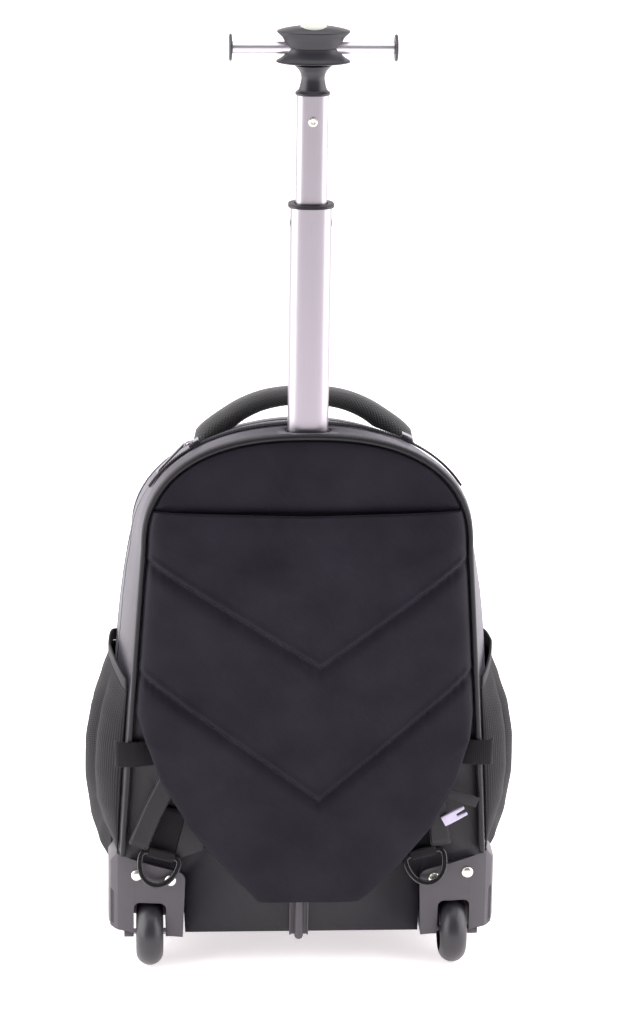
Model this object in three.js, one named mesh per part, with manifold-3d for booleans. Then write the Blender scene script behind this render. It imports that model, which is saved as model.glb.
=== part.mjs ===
// Wheeled backpack with a telescopic single-tube trolley and a T-handle.
// Millimetres, +Z up. The back panel and the trolley face -Y, and +X is on the right seen from behind.
// Depth is counted forwards from the back panel, and the whole is centred over its footprint at the end.

import * as THREE from 'three';
import { mergeVertices } from 'three/addons/utils/BufferGeometryUtils.js';
import Module from 'manifold-3d';

const wasm = await Module();
wasm.setup();

// Driving dimensions

const gap = 0.3;        // between pieces that rest on each other
const past = 20;        // how far a cutting shape runs past what it cuts
const sides = { left: -1, right: 1 };

const bag = { bottom: 34, height: 495, half: 175, depth: 205, wall: 3, split: 70, corner: 16 };
const piping = { radius: 2.8, inset: 1.8, clear: 1, sides: 6, upSteps: 7, roundSteps: 10 };
const frontPiping = { radius: 2.2, lift: 0.9, depth: 174, sides: 5 };

const pad = { bottom: 458.5, thickness: 7, edge: 2.5, roll: 12, flat: 24, steps: 9 };
const flap = { top: 457, bottom: 73, halfMax: 159, lift: 14.5, drift: 13 };
const flapPad = { thickness: 7, thinEdge: 0.55, dent: 3 };

const strap = { thickness: 9, bevel: 2.5, topWidth: 52, endWidth: 19, top: 425 };
const webbing = { width: 25, thickness: 1.8, under: 165, fold: 6, foldSteps: 6 };
const ring = { wire: 2.5, width: 42, drop: 32, corner: 5, tilt: 0.3, turn: 0.26, bar: 117, sides: 6 };
const tab = { width: 25, thickness: 1.8, height: 219.5, inner: 136, rest: 0.5, landing: 4 };
const tabEnd = { overhang: 9, hook: 5, corner: 2 };
const anchor = { reach: 25, topReach: 20, low: 113, high: 165, shoulder: 130, thickness: 2 };
const buckle = { length: 24, width: 10, thickness: 3.5, height: 152, inner: 131, slope: 0.5 };
const tail = { length: 29, width: 10, thickness: 2, height: 181, inner: 136, slope: -0.37 };

const pocket = { back: 8, front: 160, bottom: 75, mouth: 287, wall: 2, seat: 0.6 };
const pocketForm = { swell: 22, bow: 0.6, gather: 2.4, folds: 4, overHousing: 2, seamSlope: 1.2, droop: 12 };
const binding = { height: 12, thickness: 2.6 };

const housing = { inner: 111, outer: 183.5, bottom: 32, top: 115, depth: 47, proud: 4.5, curve: 22 };
const housingForm = { corner: 9, cornerDrop: 10, topSlope: 0.2, topCut: 8, sideCut: 12 };
const housingBase = { corner: 6, rise: 5, toe: 2 };
const slot = { inner: 129, outer: 159.5, top: 67, depth: 43.5, corner: 6 };
const lug = { radius: 5.2, width: 9 };
const rivet = { radius: 5.6, proud: 2.4, sides: 12, inner: [14, 24.5], outer: [27, 19.5] };
const wheel = { radius: 32, width: 26, depth: 10, tyre: 8, hubWidth: 21 };
const axle = { radius: 3, seat: 6, running: 0.4 };

const rail = { place: -3, half: 9, top: 150, bottom: 33, base: 2, rib: 4.2, nose: 4 };
const railEdge = { width: 1.5, proud: 2.2 };
const foot = { place: 95, length: 44, depth: 24, setback: 150, corner: 5, bevel: 2 };

const handle = { depth: 85, rise: 542, foot: 92, thickness: 17, footThickness: 24, width: 26, seat: 0.8 };
const handleSides = 8;
const zip = { depth: 44, width: 14, thickness: 2, lift: 0.6, skip: 7 };
const slider = { length: 11, width: 9, thickness: 3.5, lift: 0.9, left: -101, right: 91 };
const pull = { length: 37, width: 5, thickness: 1.8, lift: 6, start: 6, setback: 16, taper: 0.6, tip: 2 };
const pullRing = { radius: 4.2, wire: 0.9, along: 4.4, back: 3 };

const sleeve = { wall: 1.5, running: 0.8, top: 526 };
const lowerTube = { width: 37.5, depth: 27, wall: 1.5, bottom: 300, top: 737 };
const upperTube = { width: 28.5, depth: 19, wall: 1.4, bottom: 420, top: 839 };
const collar = { flange: 2, height: 3, running: 0.8 };
const lockPin = { radius: 3.2, off: 0.1, proud: 0.2, drop: 15 };
const tubeScrew = { radius: 4.2, proud: 1.4, drop: 23, recess: 0.8, slotWidth: 1.1 };
const neck = { height: 26.4, footHalf: 15.5, waistHalf: 10.5, headHalf: 17, deep: 0.82 };
const grip = { height: 34, part: 0.44, flangeHalf: 32.5, waistHalf: 22.5, deep: 0.52 };
const bar = { radius: 5.5, half: 72, cap: 12.2, capWidth: 2.5 };
const button = { radius: 12.2, proud: 1, length: 8.5, bevel: 1.2, travel: 2.5, running: 0.4, sides: 18 };

const neckBottom = upperTube.top + gap;
const gripBottom = neckBottom + neck.height + gap;
const gripPart = gripBottom + grip.height * grip.part;
const gripTop = gripBottom + grip.height;
const buttonTop = gripTop + button.proud;

const ovalSides = 20;
const trolleyDepth = bag.wall + 2 * gap + sleeve.wall + sleeve.running + lowerTube.depth / 2;

// The bag's cross-sections from back to front, in shares: depth of the bag's depth; foot and shoulder of its
// half width; rise and crown of its height. The two powers shape the arch on top and the taper of the sides.
const bagSections = [
  { depth: 0.00, foot: 1.000, shoulder: 0.869, rise: 0.780, crown: 1.000, archPower: 2.4, sidePower: 1.2 },
  { depth: 0.12, foot: 1.012, shoulder: 0.890, rise: 0.772, crown: 0.998, archPower: 2.3, sidePower: 1.9 },
  { depth: 0.39, foot: 1.026, shoulder: 0.926, rise: 0.740, crown: 0.985, archPower: 2.0, sidePower: 4.0 },
  { depth: 0.73, foot: 1.020, shoulder: 0.905, rise: 0.725, crown: 0.945, archPower: 2.0, sidePower: 4.0 },
  { depth: 0.90, foot: 0.985, shoulder: 0.870, rise: 0.710, crown: 0.905, archPower: 2.0, sidePower: 3.4 },
  { depth: 0.97, foot: 0.930, shoulder: 0.810, rise: 0.690, crown: 0.865, archPower: 2.1, sidePower: 3.0 },
  { depth: 1.00, foot: 0.850, shoulder: 0.720, rise: 0.660, crown: 0.805, archPower: 2.2, sidePower: 2.6 },
];

// The harness flap's rows from its top edge down, in shares: edge and apex are heights, half is of the flap's
// widest half (0 follows the piping), dent pinches a stitched chevron, drift leans a row, lie lifts its edge.
const flapRows = [
  { edge: 1.000, half: 0, apex: 0.990, dent: 0.3, apexDrift: 0.0, edgeDrift: 0, lie: 0.05, lift: 0.60 },
  { edge: 0.979, half: 0, apex: 0.966, dent: 0.0, apexDrift: 0.1, edgeDrift: 0, lie: 0.05, lift: 0.66 },
  { edge: 0.928, half: 0, apex: 0.788, dent: 0.0, apexDrift: 0.6, edgeDrift: 0, lie: 0.05, lift: 0.92 },
  { edge: 0.897, half: 0, apex: 0.641, dent: 0.0, apexDrift: 1.0, edgeDrift: 0, lie: 0.05, lift: 1.00 },
  { edge: 0.880, half: 0, apex: 0.612, dent: 1.0, apexDrift: 1.0, edgeDrift: 0, lie: 0.05, lift: 1.00 },
  { edge: 0.858, half: 0, apex: 0.581, dent: 0.0, apexDrift: 1.0, edgeDrift: 0, lie: 0.05, lift: 1.00 },
  { edge: 0.747, half: 0, apex: 0.444, dent: 0.0, apexDrift: 1.0, edgeDrift: 0, lie: 0.05, lift: 1.00 },
  { edge: 0.620, half: 0, apex: 0.297, dent: 0.0, apexDrift: 1.0, edgeDrift: 0, lie: 0.05, lift: 1.00 },
  { edge: 0.597, half: 0, apex: 0.269, dent: 1.0, apexDrift: 1.0, edgeDrift: 0, lie: 0.05, lift: 1.00 },
  { edge: 0.574, half: 0, apex: 0.240, dent: 0.0, apexDrift: 1.0, edgeDrift: 0, lie: 0.05, lift: 1.00 },
  { edge: 0.488, half: 0, apex: 0.199, dent: 0.0, apexDrift: 0.9, edgeDrift: 0, lie: 0.10, lift: 1.00 },
  { edge: 0.421, half: 0.953, apex: 0.150, dent: 0.0, apexDrift: 0.8, edgeDrift: 0.2, lie: 0.62, lift: 1.00 },
  { edge: 0.318, half: 0.868, apex: 0.116, dent: 0.0, apexDrift: 0.7, edgeDrift: 0.3, lie: 0.94, lift: 1.00 },
  { edge: 0.195, half: 0.711, apex: 0.065, dent: 0.0, apexDrift: 0.6, edgeDrift: 0.5, lie: 0.94, lift: 0.98 },
  { edge: 0.101, half: 0.535, apex: 0.028, dent: 0.0, apexDrift: 0.5, edgeDrift: 0.5, lie: 0.90, lift: 0.92 },
  { edge: 0.018, half: 0.352, apex: 0.006, dent: 0.0, apexDrift: 0.4, edgeDrift: 0.5, lie: 0.82, lift: 0.86 },
  { edge: 0.000, half: 0.308, apex: 0.000, dent: 0.4, apexDrift: 0.4, edgeDrift: 0.4, lie: 0.80, lift: 0.84 },
];

// The shoulder straps' middles, stowed behind the flap: height is a share of the strap's top, across is a
// share of the bag's half width, and width runs from the top width to the end width.
const strapRows = {
  left: [
    { height: 0.930, across: 0.260, width: 0.0 },
    { height: 0.850, across: 0.310, width: 0.0 },
    { height: 0.700, across: 0.430, width: 0.1 },
    { height: 0.560, across: 0.590, width: 0.4 },
    { height: 0.455, across: 0.720, width: 0.9 },
    { height: 0.385, across: 0.806, width: 1.0 },
    { height: 0.300, across: 0.888, width: 1.0 },
  ],
  right: [
    { height: 0.930, across: 0.260, width: 0.0 },
    { height: 0.850, across: 0.310, width: 0.0 },
    { height: 0.700, across: 0.420, width: 0.1 },
    { height: 0.560, across: 0.560, width: 0.4 },
    { height: 0.455, across: 0.665, width: 0.9 },
    { height: 0.385, across: 0.715, width: 1.0 },
    { height: 0.300, across: 0.743, width: 1.0 },
  ],
};
const ringPlace = { left: 134, right: 114 };

// The carry handle's middle line, in shares of its foot distance and of its rise above the bag's top
const handleRows = [
  { across: 1.00, rise: 0.00, thick: 1.0 },
  { across: 0.93, rise: 0.18, thick: 0.8 },
  { across: 0.80, rise: 0.42, thick: 0.5 },
  { across: 0.62, rise: 0.69, thick: 0.25 },
  { across: 0.40, rise: 0.89, thick: 0.1 },
  { across: 0.14, rise: 0.985, thick: 0.0 },
];

// The side pocket's swell from its bottom seam to its mouth, in shares of its height and of its swell
const pocketRows = [
  { height: 0.00, swell: 0.00 },
  { height: 0.10, swell: 0.46 },
  { height: 0.24, swell: 0.82 },
  { height: 0.42, swell: 1.00 },
  { height: 0.60, swell: 0.97 },
  { height: 0.76, swell: 0.80 },
  { height: 0.90, swell: 0.48 },
  { height: 1.00, swell: 0.20 },
];

// Materials

function material(color, roughness, metalness = 0) {
  return new THREE.MeshStandardMaterial({ color, roughness, metalness });
}

const materials = {
  fabric: material(0x2b292e, 0.8),
  padded: material(0x2f2c33, 0.75),
  mesh: material(0x3a363a, 0.85),
  web: material(0x1f1d21, 0.8),
  trim: material(0x242226, 0.6),
  plastic: material(0x4c484c, 0.45),
  gloss: material(0x1a191c, 0.25),
  tyre: material(0x232125, 0.5),
  tube: material(0xb3aeb6, 0.35, 0.9),
  bright: material(0xe9e6de, 0.3, 0.8),
  zipMetal: material(0x8f8b90, 0.3, 0.9),
  pale: material(0xb5aec0, 0.3),
};

// The assembly: every piece is one named mesh in this group

const backpack = new THREE.Group();

function addPiece(name, geometry, finish) {
  const mesh = new THREE.Mesh(geometry, finish);
  mesh.name = name;
  backpack.add(mesh);
  return mesh;
}

// General geometry

const lerp = THREE.MathUtils.lerp;

function vec(x, y, z) {
  return new THREE.Vector3(x, y, z);
}

function rowAt(rows, key, value) {
  const last = rows.length - 1;
  let index = 0;
  while (index < last - 1 && rows[index + 1][key] < value) index += 1;
  const low = rows[index];
  const high = rows[index + 1];
  const share = THREE.MathUtils.clamp((value - low[key]) / (high[key] - low[key]), 0, 1);
  return Object.fromEntries(Object.keys(low).map((name) => [name, lerp(low[name], high[name], share)]));
}

function signedVolume(points, faces) {
  let total = 0;
  for (let f = 0; f < faces.length; f += 3) {
    const [a, b, c] = [points[faces[f]], points[faces[f + 1]], points[faces[f + 2]]];
    total += a.dot(b.clone().cross(c));
  }
  return total / 6;
}

// A closed solid from points and triangles, turned so that its faces point outwards
function closedSolid(points, faces) {
  const outward = signedVolume(points, faces) > 0;
  const index = outward ? faces : faces.map((_, i) => faces[i % 3 === 0 ? i : i + (i % 3 === 1 ? 1 : -1)]);
  const geometry = new THREE.BufferGeometry();
  const positions = points.flatMap((p) => [p.x, p.y, p.z]);
  geometry.setAttribute('position', new THREE.Float32BufferAttribute(positions, 3));
  geometry.setIndex(index);
  return geometry;
}

// A skin over rings of equal count, capped at both ends, or joined end to start when it is a loop
function loft(rings, loop = false) {
  const count = rings[0].length;
  const faces = [];
  const spans = loop ? rings.length : rings.length - 1;
  for (let r = 0; r < spans; r++) {
    const here = r * count;
    const next = ((r + 1) % rings.length) * count;
    for (let i = 0; i < count; i++) {
      const j = (i + 1) % count;
      faces.push(here + i, here + j, next + j, here + i, next + j, next + i);
    }
  }
  if (!loop) {
    const last = (rings.length - 1) * count;
    for (let i = 1; i < count - 1; i++) {
      faces.push(0, i + 1, i, last, last + i, last + i + 1);
    }
  }
  return closedSolid(rings.flat(), faces);
}

// A sheet with thickness between two surfaces given over rows and columns
function slab(rows, columns, outerAt, innerAt) {
  const width = columns + 1;
  const layer = (rows + 1) * width;
  const points = [];
  for (const surface of [outerAt, innerAt]) {
    for (let r = 0; r <= rows; r++) {
      for (let c = 0; c <= columns; c++) points.push(surface(r, c));
    }
  }
  const faces = [];
  for (let r = 0; r < rows; r++) {
    for (let c = 0; c < columns; c++) {
      const [a, b, d, e] = [r * width + c, r * width + c + 1, (r + 1) * width + c, (r + 1) * width + c + 1];
      faces.push(a, b, e, a, e, d);
      faces.push(layer + a, layer + e, layer + b, layer + a, layer + d, layer + e);
    }
  }
  const rim = [];
  for (let c = 0; c < columns; c++) rim.push(c);
  for (let r = 0; r < rows; r++) rim.push(r * width + columns);
  for (let c = columns; c > 0; c--) rim.push(rows * width + c);
  for (let r = rows; r > 0; r--) rim.push(r * width);
  rim.forEach((a, i) => {
    const b = rim[(i + 1) % rim.length];
    faces.push(b, a, a + layer, b, a + layer, b + layer);
  });
  return closedSolid(points, faces);
}

// A round bar along a path that lies in a plane with the given normal
function roundSweep(path, radius, count, normal, loop = false) {
  const last = path.length - 1;
  const rings = path.map((point, i) => {
    const before = path[loop ? (i + last) % path.length : Math.max(i - 1, 0)];
    const after = path[loop ? (i + 1) % path.length : Math.min(i + 1, last)];
    const side = after.clone().sub(before).normalize().cross(normal).normalize();
    return Array.from({ length: count }, (_, k) => {
      const angle = (2 * Math.PI * (k + 0.5)) / count;
      return point.clone().addScaledVector(side, radius * Math.cos(angle))
        .addScaledVector(normal, radius * Math.sin(angle));
    });
  });
  return loft(rings, loop);
}

// A flat band along a path: it lies across the given direction and its thickness grows to the outer side
function flatSweep(path, width, thickness, across, outward) {
  const rings = path.map((point, i) => {
    const before = path[Math.max(i - 1, 0)];
    const after = path[Math.min(i + 1, path.length - 1)];
    const side = after.clone().sub(before).normalize().cross(across).normalize();
    if (side.dot(outward(point)) < 0) side.negate();
    const corners = [[-0.5, 0], [-0.5, 1], [0.5, 1], [0.5, 0]];
    return corners.map(([a, t]) => point.clone().addScaledVector(across, a * width)
      .addScaledVector(side, t * thickness));
  });
  return loft(rings);
}

// An oval ring round the trolley's middle line, squarer than an ellipse
function ovalRing(width, depth, height, squareness = 2.6) {
  return Array.from({ length: ovalSides }, (_, k) => {
    const angle = (2 * Math.PI * k) / ovalSides;
    const [c, s] = [Math.cos(angle), Math.sin(angle)];
    const x = (width / 2) * Math.sign(c) * Math.abs(c) ** (2 / squareness);
    const y = (depth / 2) * Math.sign(s) * Math.abs(s) ** (2 / squareness);
    return vec(x, trolleyDepth + y, height);
  });
}

// An oval tube open at both ends
function ovalTube({ width, depth, wall, bottom, top }) {
  return loft([
    ovalRing(width, depth, bottom),
    ovalRing(width, depth, top),
    ovalRing(width - 2 * wall, depth - 2 * wall, top),
    ovalRing(width - 2 * wall, depth - 2 * wall, bottom),
  ], true);
}

function cylinder(radius, length, count) {
  return new THREE.CylinderGeometry(radius, radius, length, count);
}

// A flat shape in X and Z, extruded forwards from one depth to another
function plate(points, fromDepth, toDepth) {
  const shape = new THREE.Shape(points.map(([x, z]) => new THREE.Vector2(x, z)));
  const geometry = new THREE.ExtrudeGeometry(shape, { depth: toDepth - fromDepth, bevelEnabled: false });
  geometry.rotateX(Math.PI / 2);
  geometry.translate(0, toDepth, 0);
  return geometry;
}

// A flat shape in X and Y, extruded upwards from one height to another
function column(points, low, high) {
  const shape = new THREE.Shape(points.map(([x, y]) => new THREE.Vector2(x, y)));
  const geometry = new THREE.ExtrudeGeometry(shape, { depth: high - low, bevelEnabled: false });
  geometry.translate(0, 0, low);
  return geometry;
}

function arc(centre, radius, from, to, steps) {
  return Array.from({ length: steps + 1 }, (_, k) => {
    const angle = THREE.MathUtils.degToRad(lerp(from, to, k / steps));
    return [centre[0] + radius * Math.cos(angle), centre[1] + radius * Math.sin(angle)];
  });
}

// Booleans

function bareMesh(geometry) {
  const bare = geometry.clone();
  for (const name of ['normal', 'uv']) bare.deleteAttribute(name);
  return mergeVertices(bare, 1e-4);
}

function toManifold(geometry) {
  const merged = bareMesh(geometry);
  return new wasm.Manifold(new wasm.Mesh({
    numProp: 3,
    vertProperties: new Float32Array(merged.attributes.position.array),
    triVerts: new Uint32Array(merged.index.array),
  }));
}

function fromManifold(solid) {
  const mesh = solid.getMesh();
  const geometry = new THREE.BufferGeometry();
  geometry.setAttribute('position', new THREE.Float32BufferAttribute(mesh.vertProperties, 3));
  geometry.setIndex(Array.from(mesh.triVerts));
  return geometry;
}

function cut(geometry, tools) {
  return fromManifold(tools.reduce((solid, tool) => solid.subtract(toManifold(tool)), toManifold(geometry)));
}

// The same geometry with its shared points merged and its faces turned outwards
function turnedOut(geometry) {
  const bare = bareMesh(geometry);
  const position = bare.attributes.position;
  const points = Array.from({ length: position.count }, (_, i) => vec().fromBufferAttribute(position, i));
  const index = Array.from(bare.index.array);
  const faces = [];
  for (let f = 0; f < index.length; f += 3) {
    const face = index.slice(f, f + 3);
    if (new Set(face).size === 3) faces.push(...face);
  }
  return closedSolid(points, faces);
}

// The bag's outer form, drawn with a few steps up each side and round each half of its arch

const sideSteps = 4;
const archSteps = 9;

function sectionAt(depth) {
  const row = rowAt(bagSections, 'depth', depth / bag.depth);
  return {
    foot: row.foot * bag.half,
    shoulder: row.shoulder * bag.half,
    rise: bag.bottom + row.rise * bag.height,
    crown: bag.bottom + row.crown * bag.height,
    archPower: row.archPower,
    sidePower: row.sidePower,
  };
}

function halfAt(depth, height) {
  const s = sectionAt(depth);
  if (height > s.rise) {
    const share = Math.min((height - s.rise) / (s.crown - s.rise), 1);
    return s.shoulder * (1 - share ** s.archPower) ** (1 / s.archPower);
  }
  return s.foot - (s.foot - s.shoulder) * ((height - bag.bottom) / (s.rise - bag.bottom)) ** s.sidePower;
}

function crownAt(depth, across) {
  const s = sectionAt(depth);
  const share = Math.min(Math.abs(across) / s.shoulder, 1);
  return s.rise + (s.crown - s.rise) * (1 - share ** s.archPower) ** (1 / s.archPower);
}

// Points from the right side at a start height over the crown to the left side
function archPath(depth, inset, start, upSteps, roundSteps) {
  const s = sectionAt(depth);
  const right = [];
  for (let k = 0; k < upSteps; k++) {
    const height = lerp(start, s.rise, k / upSteps);
    right.push([halfAt(depth, height) - inset, height]);
  }
  for (let k = 0; k < roundSteps; k++) {
    const angle = (Math.PI / 2) * (k / roundSteps);
    const across = (s.shoulder - inset) * Math.cos(angle) ** (2 / s.archPower);
    right.push([across, s.rise + (s.crown - inset - s.rise) * Math.sin(angle) ** (2 / s.archPower)]);
  }
  const left = right.map(([x, z]) => [-x, z]).reverse();
  return [...right, [0, s.crown - inset], ...left];
}

// Points of the arch from a start height on the right side over the crown to the same height on the left
function crownPath(depth, inset, start, steps) {
  const s = sectionAt(depth);
  const power = 2 / s.archPower;
  const [wide, tall] = [s.shoulder - inset, s.crown - inset - s.rise];
  const first = Math.asin(((start - s.rise) / tall) ** (1 / power));
  const right = Array.from({ length: steps }, (_, k) => {
    const angle = lerp(first, Math.PI / 2, k / steps);
    return [wide * Math.cos(angle) ** power, s.rise + tall * Math.sin(angle) ** power];
  });
  const left = right.map(([x, z]) => [-x, z]).reverse();
  return [...right, [0, s.crown - inset], ...left];
}

// The closed cross-section at one depth, drawn in by an inset
function bagRing(depth, inset, atDepth = depth) {
  const low = bag.bottom + inset;
  const s = sectionAt(depth);
  const round = arc([s.foot - inset - bag.corner, low + bag.corner], bag.corner, -90, -30, 2);
  const base = [...round.map(([x, z]) => [-x, z]).reverse(), ...round];
  const arch = archPath(depth, inset, low + bag.corner, sideSteps, archSteps);
  return [...base, ...arch].map(([x, z]) => vec(x, atDepth, z));
}

// The bag: a rear shell and a front shell, both hollow and open to each other

// The housing seen from behind, from its inner side over the sloping top to its outer side
function housingUpperOutline(extra) {
  const [inner, outer, high] = [housing.inner - extra, housing.outer + extra, housing.top + extra];
  const { corner, cornerDrop, topSlope, topCut, sideCut } = housingForm;
  const slopeEnd = high - (outer - inner) * topSlope;
  const centre = [inner + corner, slopeEnd - cornerDrop];
  return [...arc(centre, corner, 180, 105, 3), [outer - topCut, high], [outer, high - sideCut]];
}

function housingOutline(side) {
  const { inner, outer, bottom } = housing;
  const { corner, rise, toe } = housingBase;
  const low = bottom + rise;
  const turned = arc([outer - corner, low + corner], corner, 0, -90, 2);
  const base = [...turned, [inner + toe, bottom]];
  return [...housingUpperOutline(0), ...base].map(([x, z]) => [side * x, z]);
}

// The room that a housing takes out of the bag's corner
function housingEnvelope(side) {
  const below = bag.bottom - past;
  const base = [[housing.outer + gap, below], [housing.inner - gap, below]];
  const outline = [...housingUpperOutline(gap), ...base].map(([x, z]) => [side * x, z]);
  return plate(outline, -past, housing.depth + gap);
}

function rearShell() {
  const [wall, split] = [bag.wall, bag.split];
  const zipEdges = [zip.depth - zip.width / 2, zip.depth + zip.width / 2];
  const depths = [bagSections[1].depth * bag.depth, ...zipEdges, split];
  const outer = [0, ...depths].map((depth) => bagRing(depth, 0));
  const inner = depths.reverse().map((depth) => bagRing(depth, wall));
  const shell = loft([...outer, ...inner, bagRing(0, wall, wall)]);
  const sleeveWidth = lowerTube.width + 2 * (sleeve.running + sleeve.wall + gap);
  const sleeveDepth = lowerTube.depth + 2 * (sleeve.running + sleeve.wall + gap);
  const trolleySlot = loft([sleeve.top - 2 * past, sleeve.top + 2 * past]
    .map((height) => ovalRing(sleeveWidth, sleeveDepth, height)));
  return cut(shell, [housingEnvelope(-1), housingEnvelope(1), trolleySlot]);
}

function frontShell() {
  const [wall, start] = [bag.wall, bag.split + gap];
  const steps = [0.55, ...bagSections.slice(3, -1).map((row) => row.depth)].map((share) => share * bag.depth);
  const outer = [start, ...steps, bag.depth].map((depth) => bagRing(depth, 0));
  const inner = [start, ...steps].map((depth) => bagRing(depth, wall)).reverse();
  return loft([bagRing(bag.depth, wall, bag.depth - wall), ...inner, ...outer]);
}

addPiece('rear_shell', rearShell(), materials.fabric);
addPiece('front_shell', frontShell(), materials.fabric);

// Piping round the back panel, from the top of one wheel housing to the other, and round the front seam

function pipingHalf(height) {
  return halfAt(0, height) - piping.inset;
}

function rearPiping() {
  const path = archPath(0, piping.inset, housing.top + piping.clear, piping.upSteps, piping.roundSteps)
    .map(([x, z]) => vec(x, -gap - piping.radius, z));
  return roundSweep(path, piping.radius, piping.sides, vec(0, 1, 0));
}

function frontSeamPiping() {
  const path = bagRing(frontPiping.depth, -frontPiping.radius - frontPiping.lift);
  return roundSweep(path, frontPiping.radius, frontPiping.sides, vec(0, 1, 0), true);
}

addPiece('rear_piping', rearPiping(), materials.trim);
addPiece('front_piping', frontSeamPiping(), materials.trim);

// The padded back panel above the flap: its outline drawn in step by step as it rises

function upperPad() {
  const border = piping.inset + piping.radius + piping.clear;
  const steps = [
    [border, gap],
    [border, pad.edge],
    [border + pad.roll * 0.4, pad.thickness * 0.78],
    [border + pad.roll, pad.thickness * 0.94],
    [border + pad.flat, pad.thickness],
  ];
  return loft(steps.map(([inset, rise]) => crownPath(0, inset, pad.bottom + inset - border, pad.steps)
    .map(([x, z]) => vec(x, -rise, z))));
}

addPiece('upper_back_pad', upperPad(), materials.padded);

// The harness flap with its two stitched chevrons, open at the top and free along its lower edge

const flapColumns = 12;

function flapPoint(r, c, layer) {
  const row = flapRows[r];
  const across = (2 * c) / flapColumns - 1;
  const flapHeight = flap.top - flap.bottom;
  const edgeHeight = flap.bottom + row.edge * flapHeight;
  const apexHeight = flap.bottom + row.apex * flapHeight;
  const free = row.half > 0;
  const border = piping.radius + piping.clear;
  const half = free ? row.half * flap.halfMax : pipingHalf(edgeHeight) - border;
  const middle = row.apexDrift * flap.drift;
  const end = Math.sign(across) * half + row.edgeDrift * flap.drift;
  const x = lerp(middle, end, Math.abs(across));
  const height = lerp(apexHeight, edgeHeight, Math.abs(across));
  const dome = Math.sqrt(1 - Math.abs(across) ** 6);
  const lie = Math.max(row.lie * flap.lift, gap);
  const under = lie + (row.lift * flap.lift - lie) * dome;
  const swell = flapPad.thickness * lerp(flapPad.thinEdge, 1, dome) - row.dent * flapPad.dent;
  return vec(x, -under - (layer === 'outer' ? swell : 0), height);
}

addPiece('harness_flap', slab(
  flapRows.length - 1,
  flapColumns,
  (r, c) => flapPoint(r, c, 'outer'),
  (r, c) => flapPoint(r, c, 'inner'),
), materials.padded);

// Shoulder straps stowed behind the flap, each with its lower end showing beside the flap

const strapBack = gap + webbing.thickness + gap;

function shoulderStrap(name) {
  const side = sides[name];
  const rows = strapRows[name].map((row) => ({
    middle: vec(side * row.across * bag.half, 0, row.height * strap.top),
    half: lerp(strap.topWidth, strap.endWidth, row.width) / 2,
  }));
  const { thickness, bevel } = strap;
  const rings = rows.map(({ middle, half }, i) => {
    const before = rows[Math.max(i - 1, 0)].middle;
    const after = rows[Math.min(i + 1, rows.length - 1)].middle;
    const across = after.clone().sub(before).normalize().cross(vec(0, 1, 0));
    const profile = [
      [half, 0], [half, thickness - bevel], [half - bevel, thickness],
      [bevel - half, thickness], [-half, thickness - bevel], [-half, 0],
    ];
    return profile.map(([a, t]) => middle.clone().addScaledVector(across, a)
      .add(vec(0, -strapBack - t, 0)));
  });
  return loft(rings);
}

// Webbing that comes down behind a strap's end, wraps the ring's bar and ends in a short front layer

const barDepth = -(2 * gap + webbing.thickness + ring.wire);

// Turned about the ring's bar, to hang in line with the strap
function turnedAtBar(geometry, name) {
  const middle = sides[name] * ringPlace[name];
  geometry.translate(-middle, 0, -ring.bar);
  geometry.rotateY(-sides[name] * ring.turn);
  geometry.translate(middle, 0, ring.bar);
  return geometry;
}

function ringWebbing(name) {
  const middle = sides[name] * ringPlace[name];
  const inner = ring.wire + gap;
  const fold = arc([barDepth, ring.bar], inner, 0, -180, webbing.foldSteps);
  const path = [[barDepth + inner, webbing.under], ...fold, [barDepth - inner, ring.bar + webbing.fold]]
    .map(([y, z]) => vec(middle, y, z));
  const centre = vec(middle, barDepth, ring.bar);
  const geometry = flatSweep(path, webbing.width, webbing.thickness, vec(1, 0, 0), (p) => (
    p.z > ring.bar ? vec(0, Math.sign(p.y - barDepth), 0) : p.clone().sub(centre)
  ));
  return turnedAtBar(geometry, name);
}

// A D-shaped ring hanging from its bar, tilted clear of the wheel housing
function dRing(name) {
  const half = ring.width / 2 - ring.wire;
  const drop = ring.drop - ring.wire;
  const corner = ring.corner;
  const bow = arc([0, 0], 1, -180, 0, 10)
    .map(([c, s]) => [half * c, (drop - corner) * s - corner]);
  const cornerAt = (side) => [side * (half - corner * 0.3), corner * -0.3];
  const outline = [[corner - half, 0], cornerAt(-1), ...bow, cornerAt(1), [half - corner, 0]];
  const path = outline.map(([x, z]) => vec(x, 0, z));
  const geometry = roundSweep(path, ring.wire, ring.sides, vec(0, 1, 0), true);
  geometry.rotateX(-ring.tilt);
  geometry.translate(sides[name] * ringPlace[name], barDepth, ring.bar);
  return turnedAtBar(geometry, name);
}

// The sewn cloth triangle beside the webbing
function strapAnchor(name) {
  const outer = ringPlace[name] - webbing.width / 2 - gap;
  const inner = outer - anchor.reach;
  const points = [
    [outer, anchor.low],
    [inner, anchor.shoulder],
    [outer - anchor.topReach, anchor.high],
    [outer, anchor.high],
  ].map(([x, z]) => [sides[name] * x, z]);
  return turnedAtBar(plate(points, -gap - anchor.thickness, -gap), name);
}

// A webbing tab from under the flap's edge, over the piping and hooked round its outside
function sideTab(name) {
  const side = sides[name];
  const reach = pipingHalf(tab.height) + piping.radius + tabEnd.overhang;
  const over = -2 * gap - 2 * piping.radius;
  const points = [
    [tab.inner, -tab.rest],
    [tab.inner + tab.landing, -tab.rest],
    [pipingHalf(tab.height) - 2 * piping.radius, over],
    [reach - tabEnd.corner, over],
    [reach, over + tabEnd.corner],
    [reach, over + tabEnd.hook],
  ].map(([x, y]) => vec(side * x, y, tab.height));
  return flatSweep(points, tab.width, tab.thickness, vec(0, 0, 1), (p) => (
    Math.abs(p.x) > reach - tabEnd.corner / 2 ? vec(side, 0, 0) : vec(0, -1, 0)
  ));
}

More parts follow.
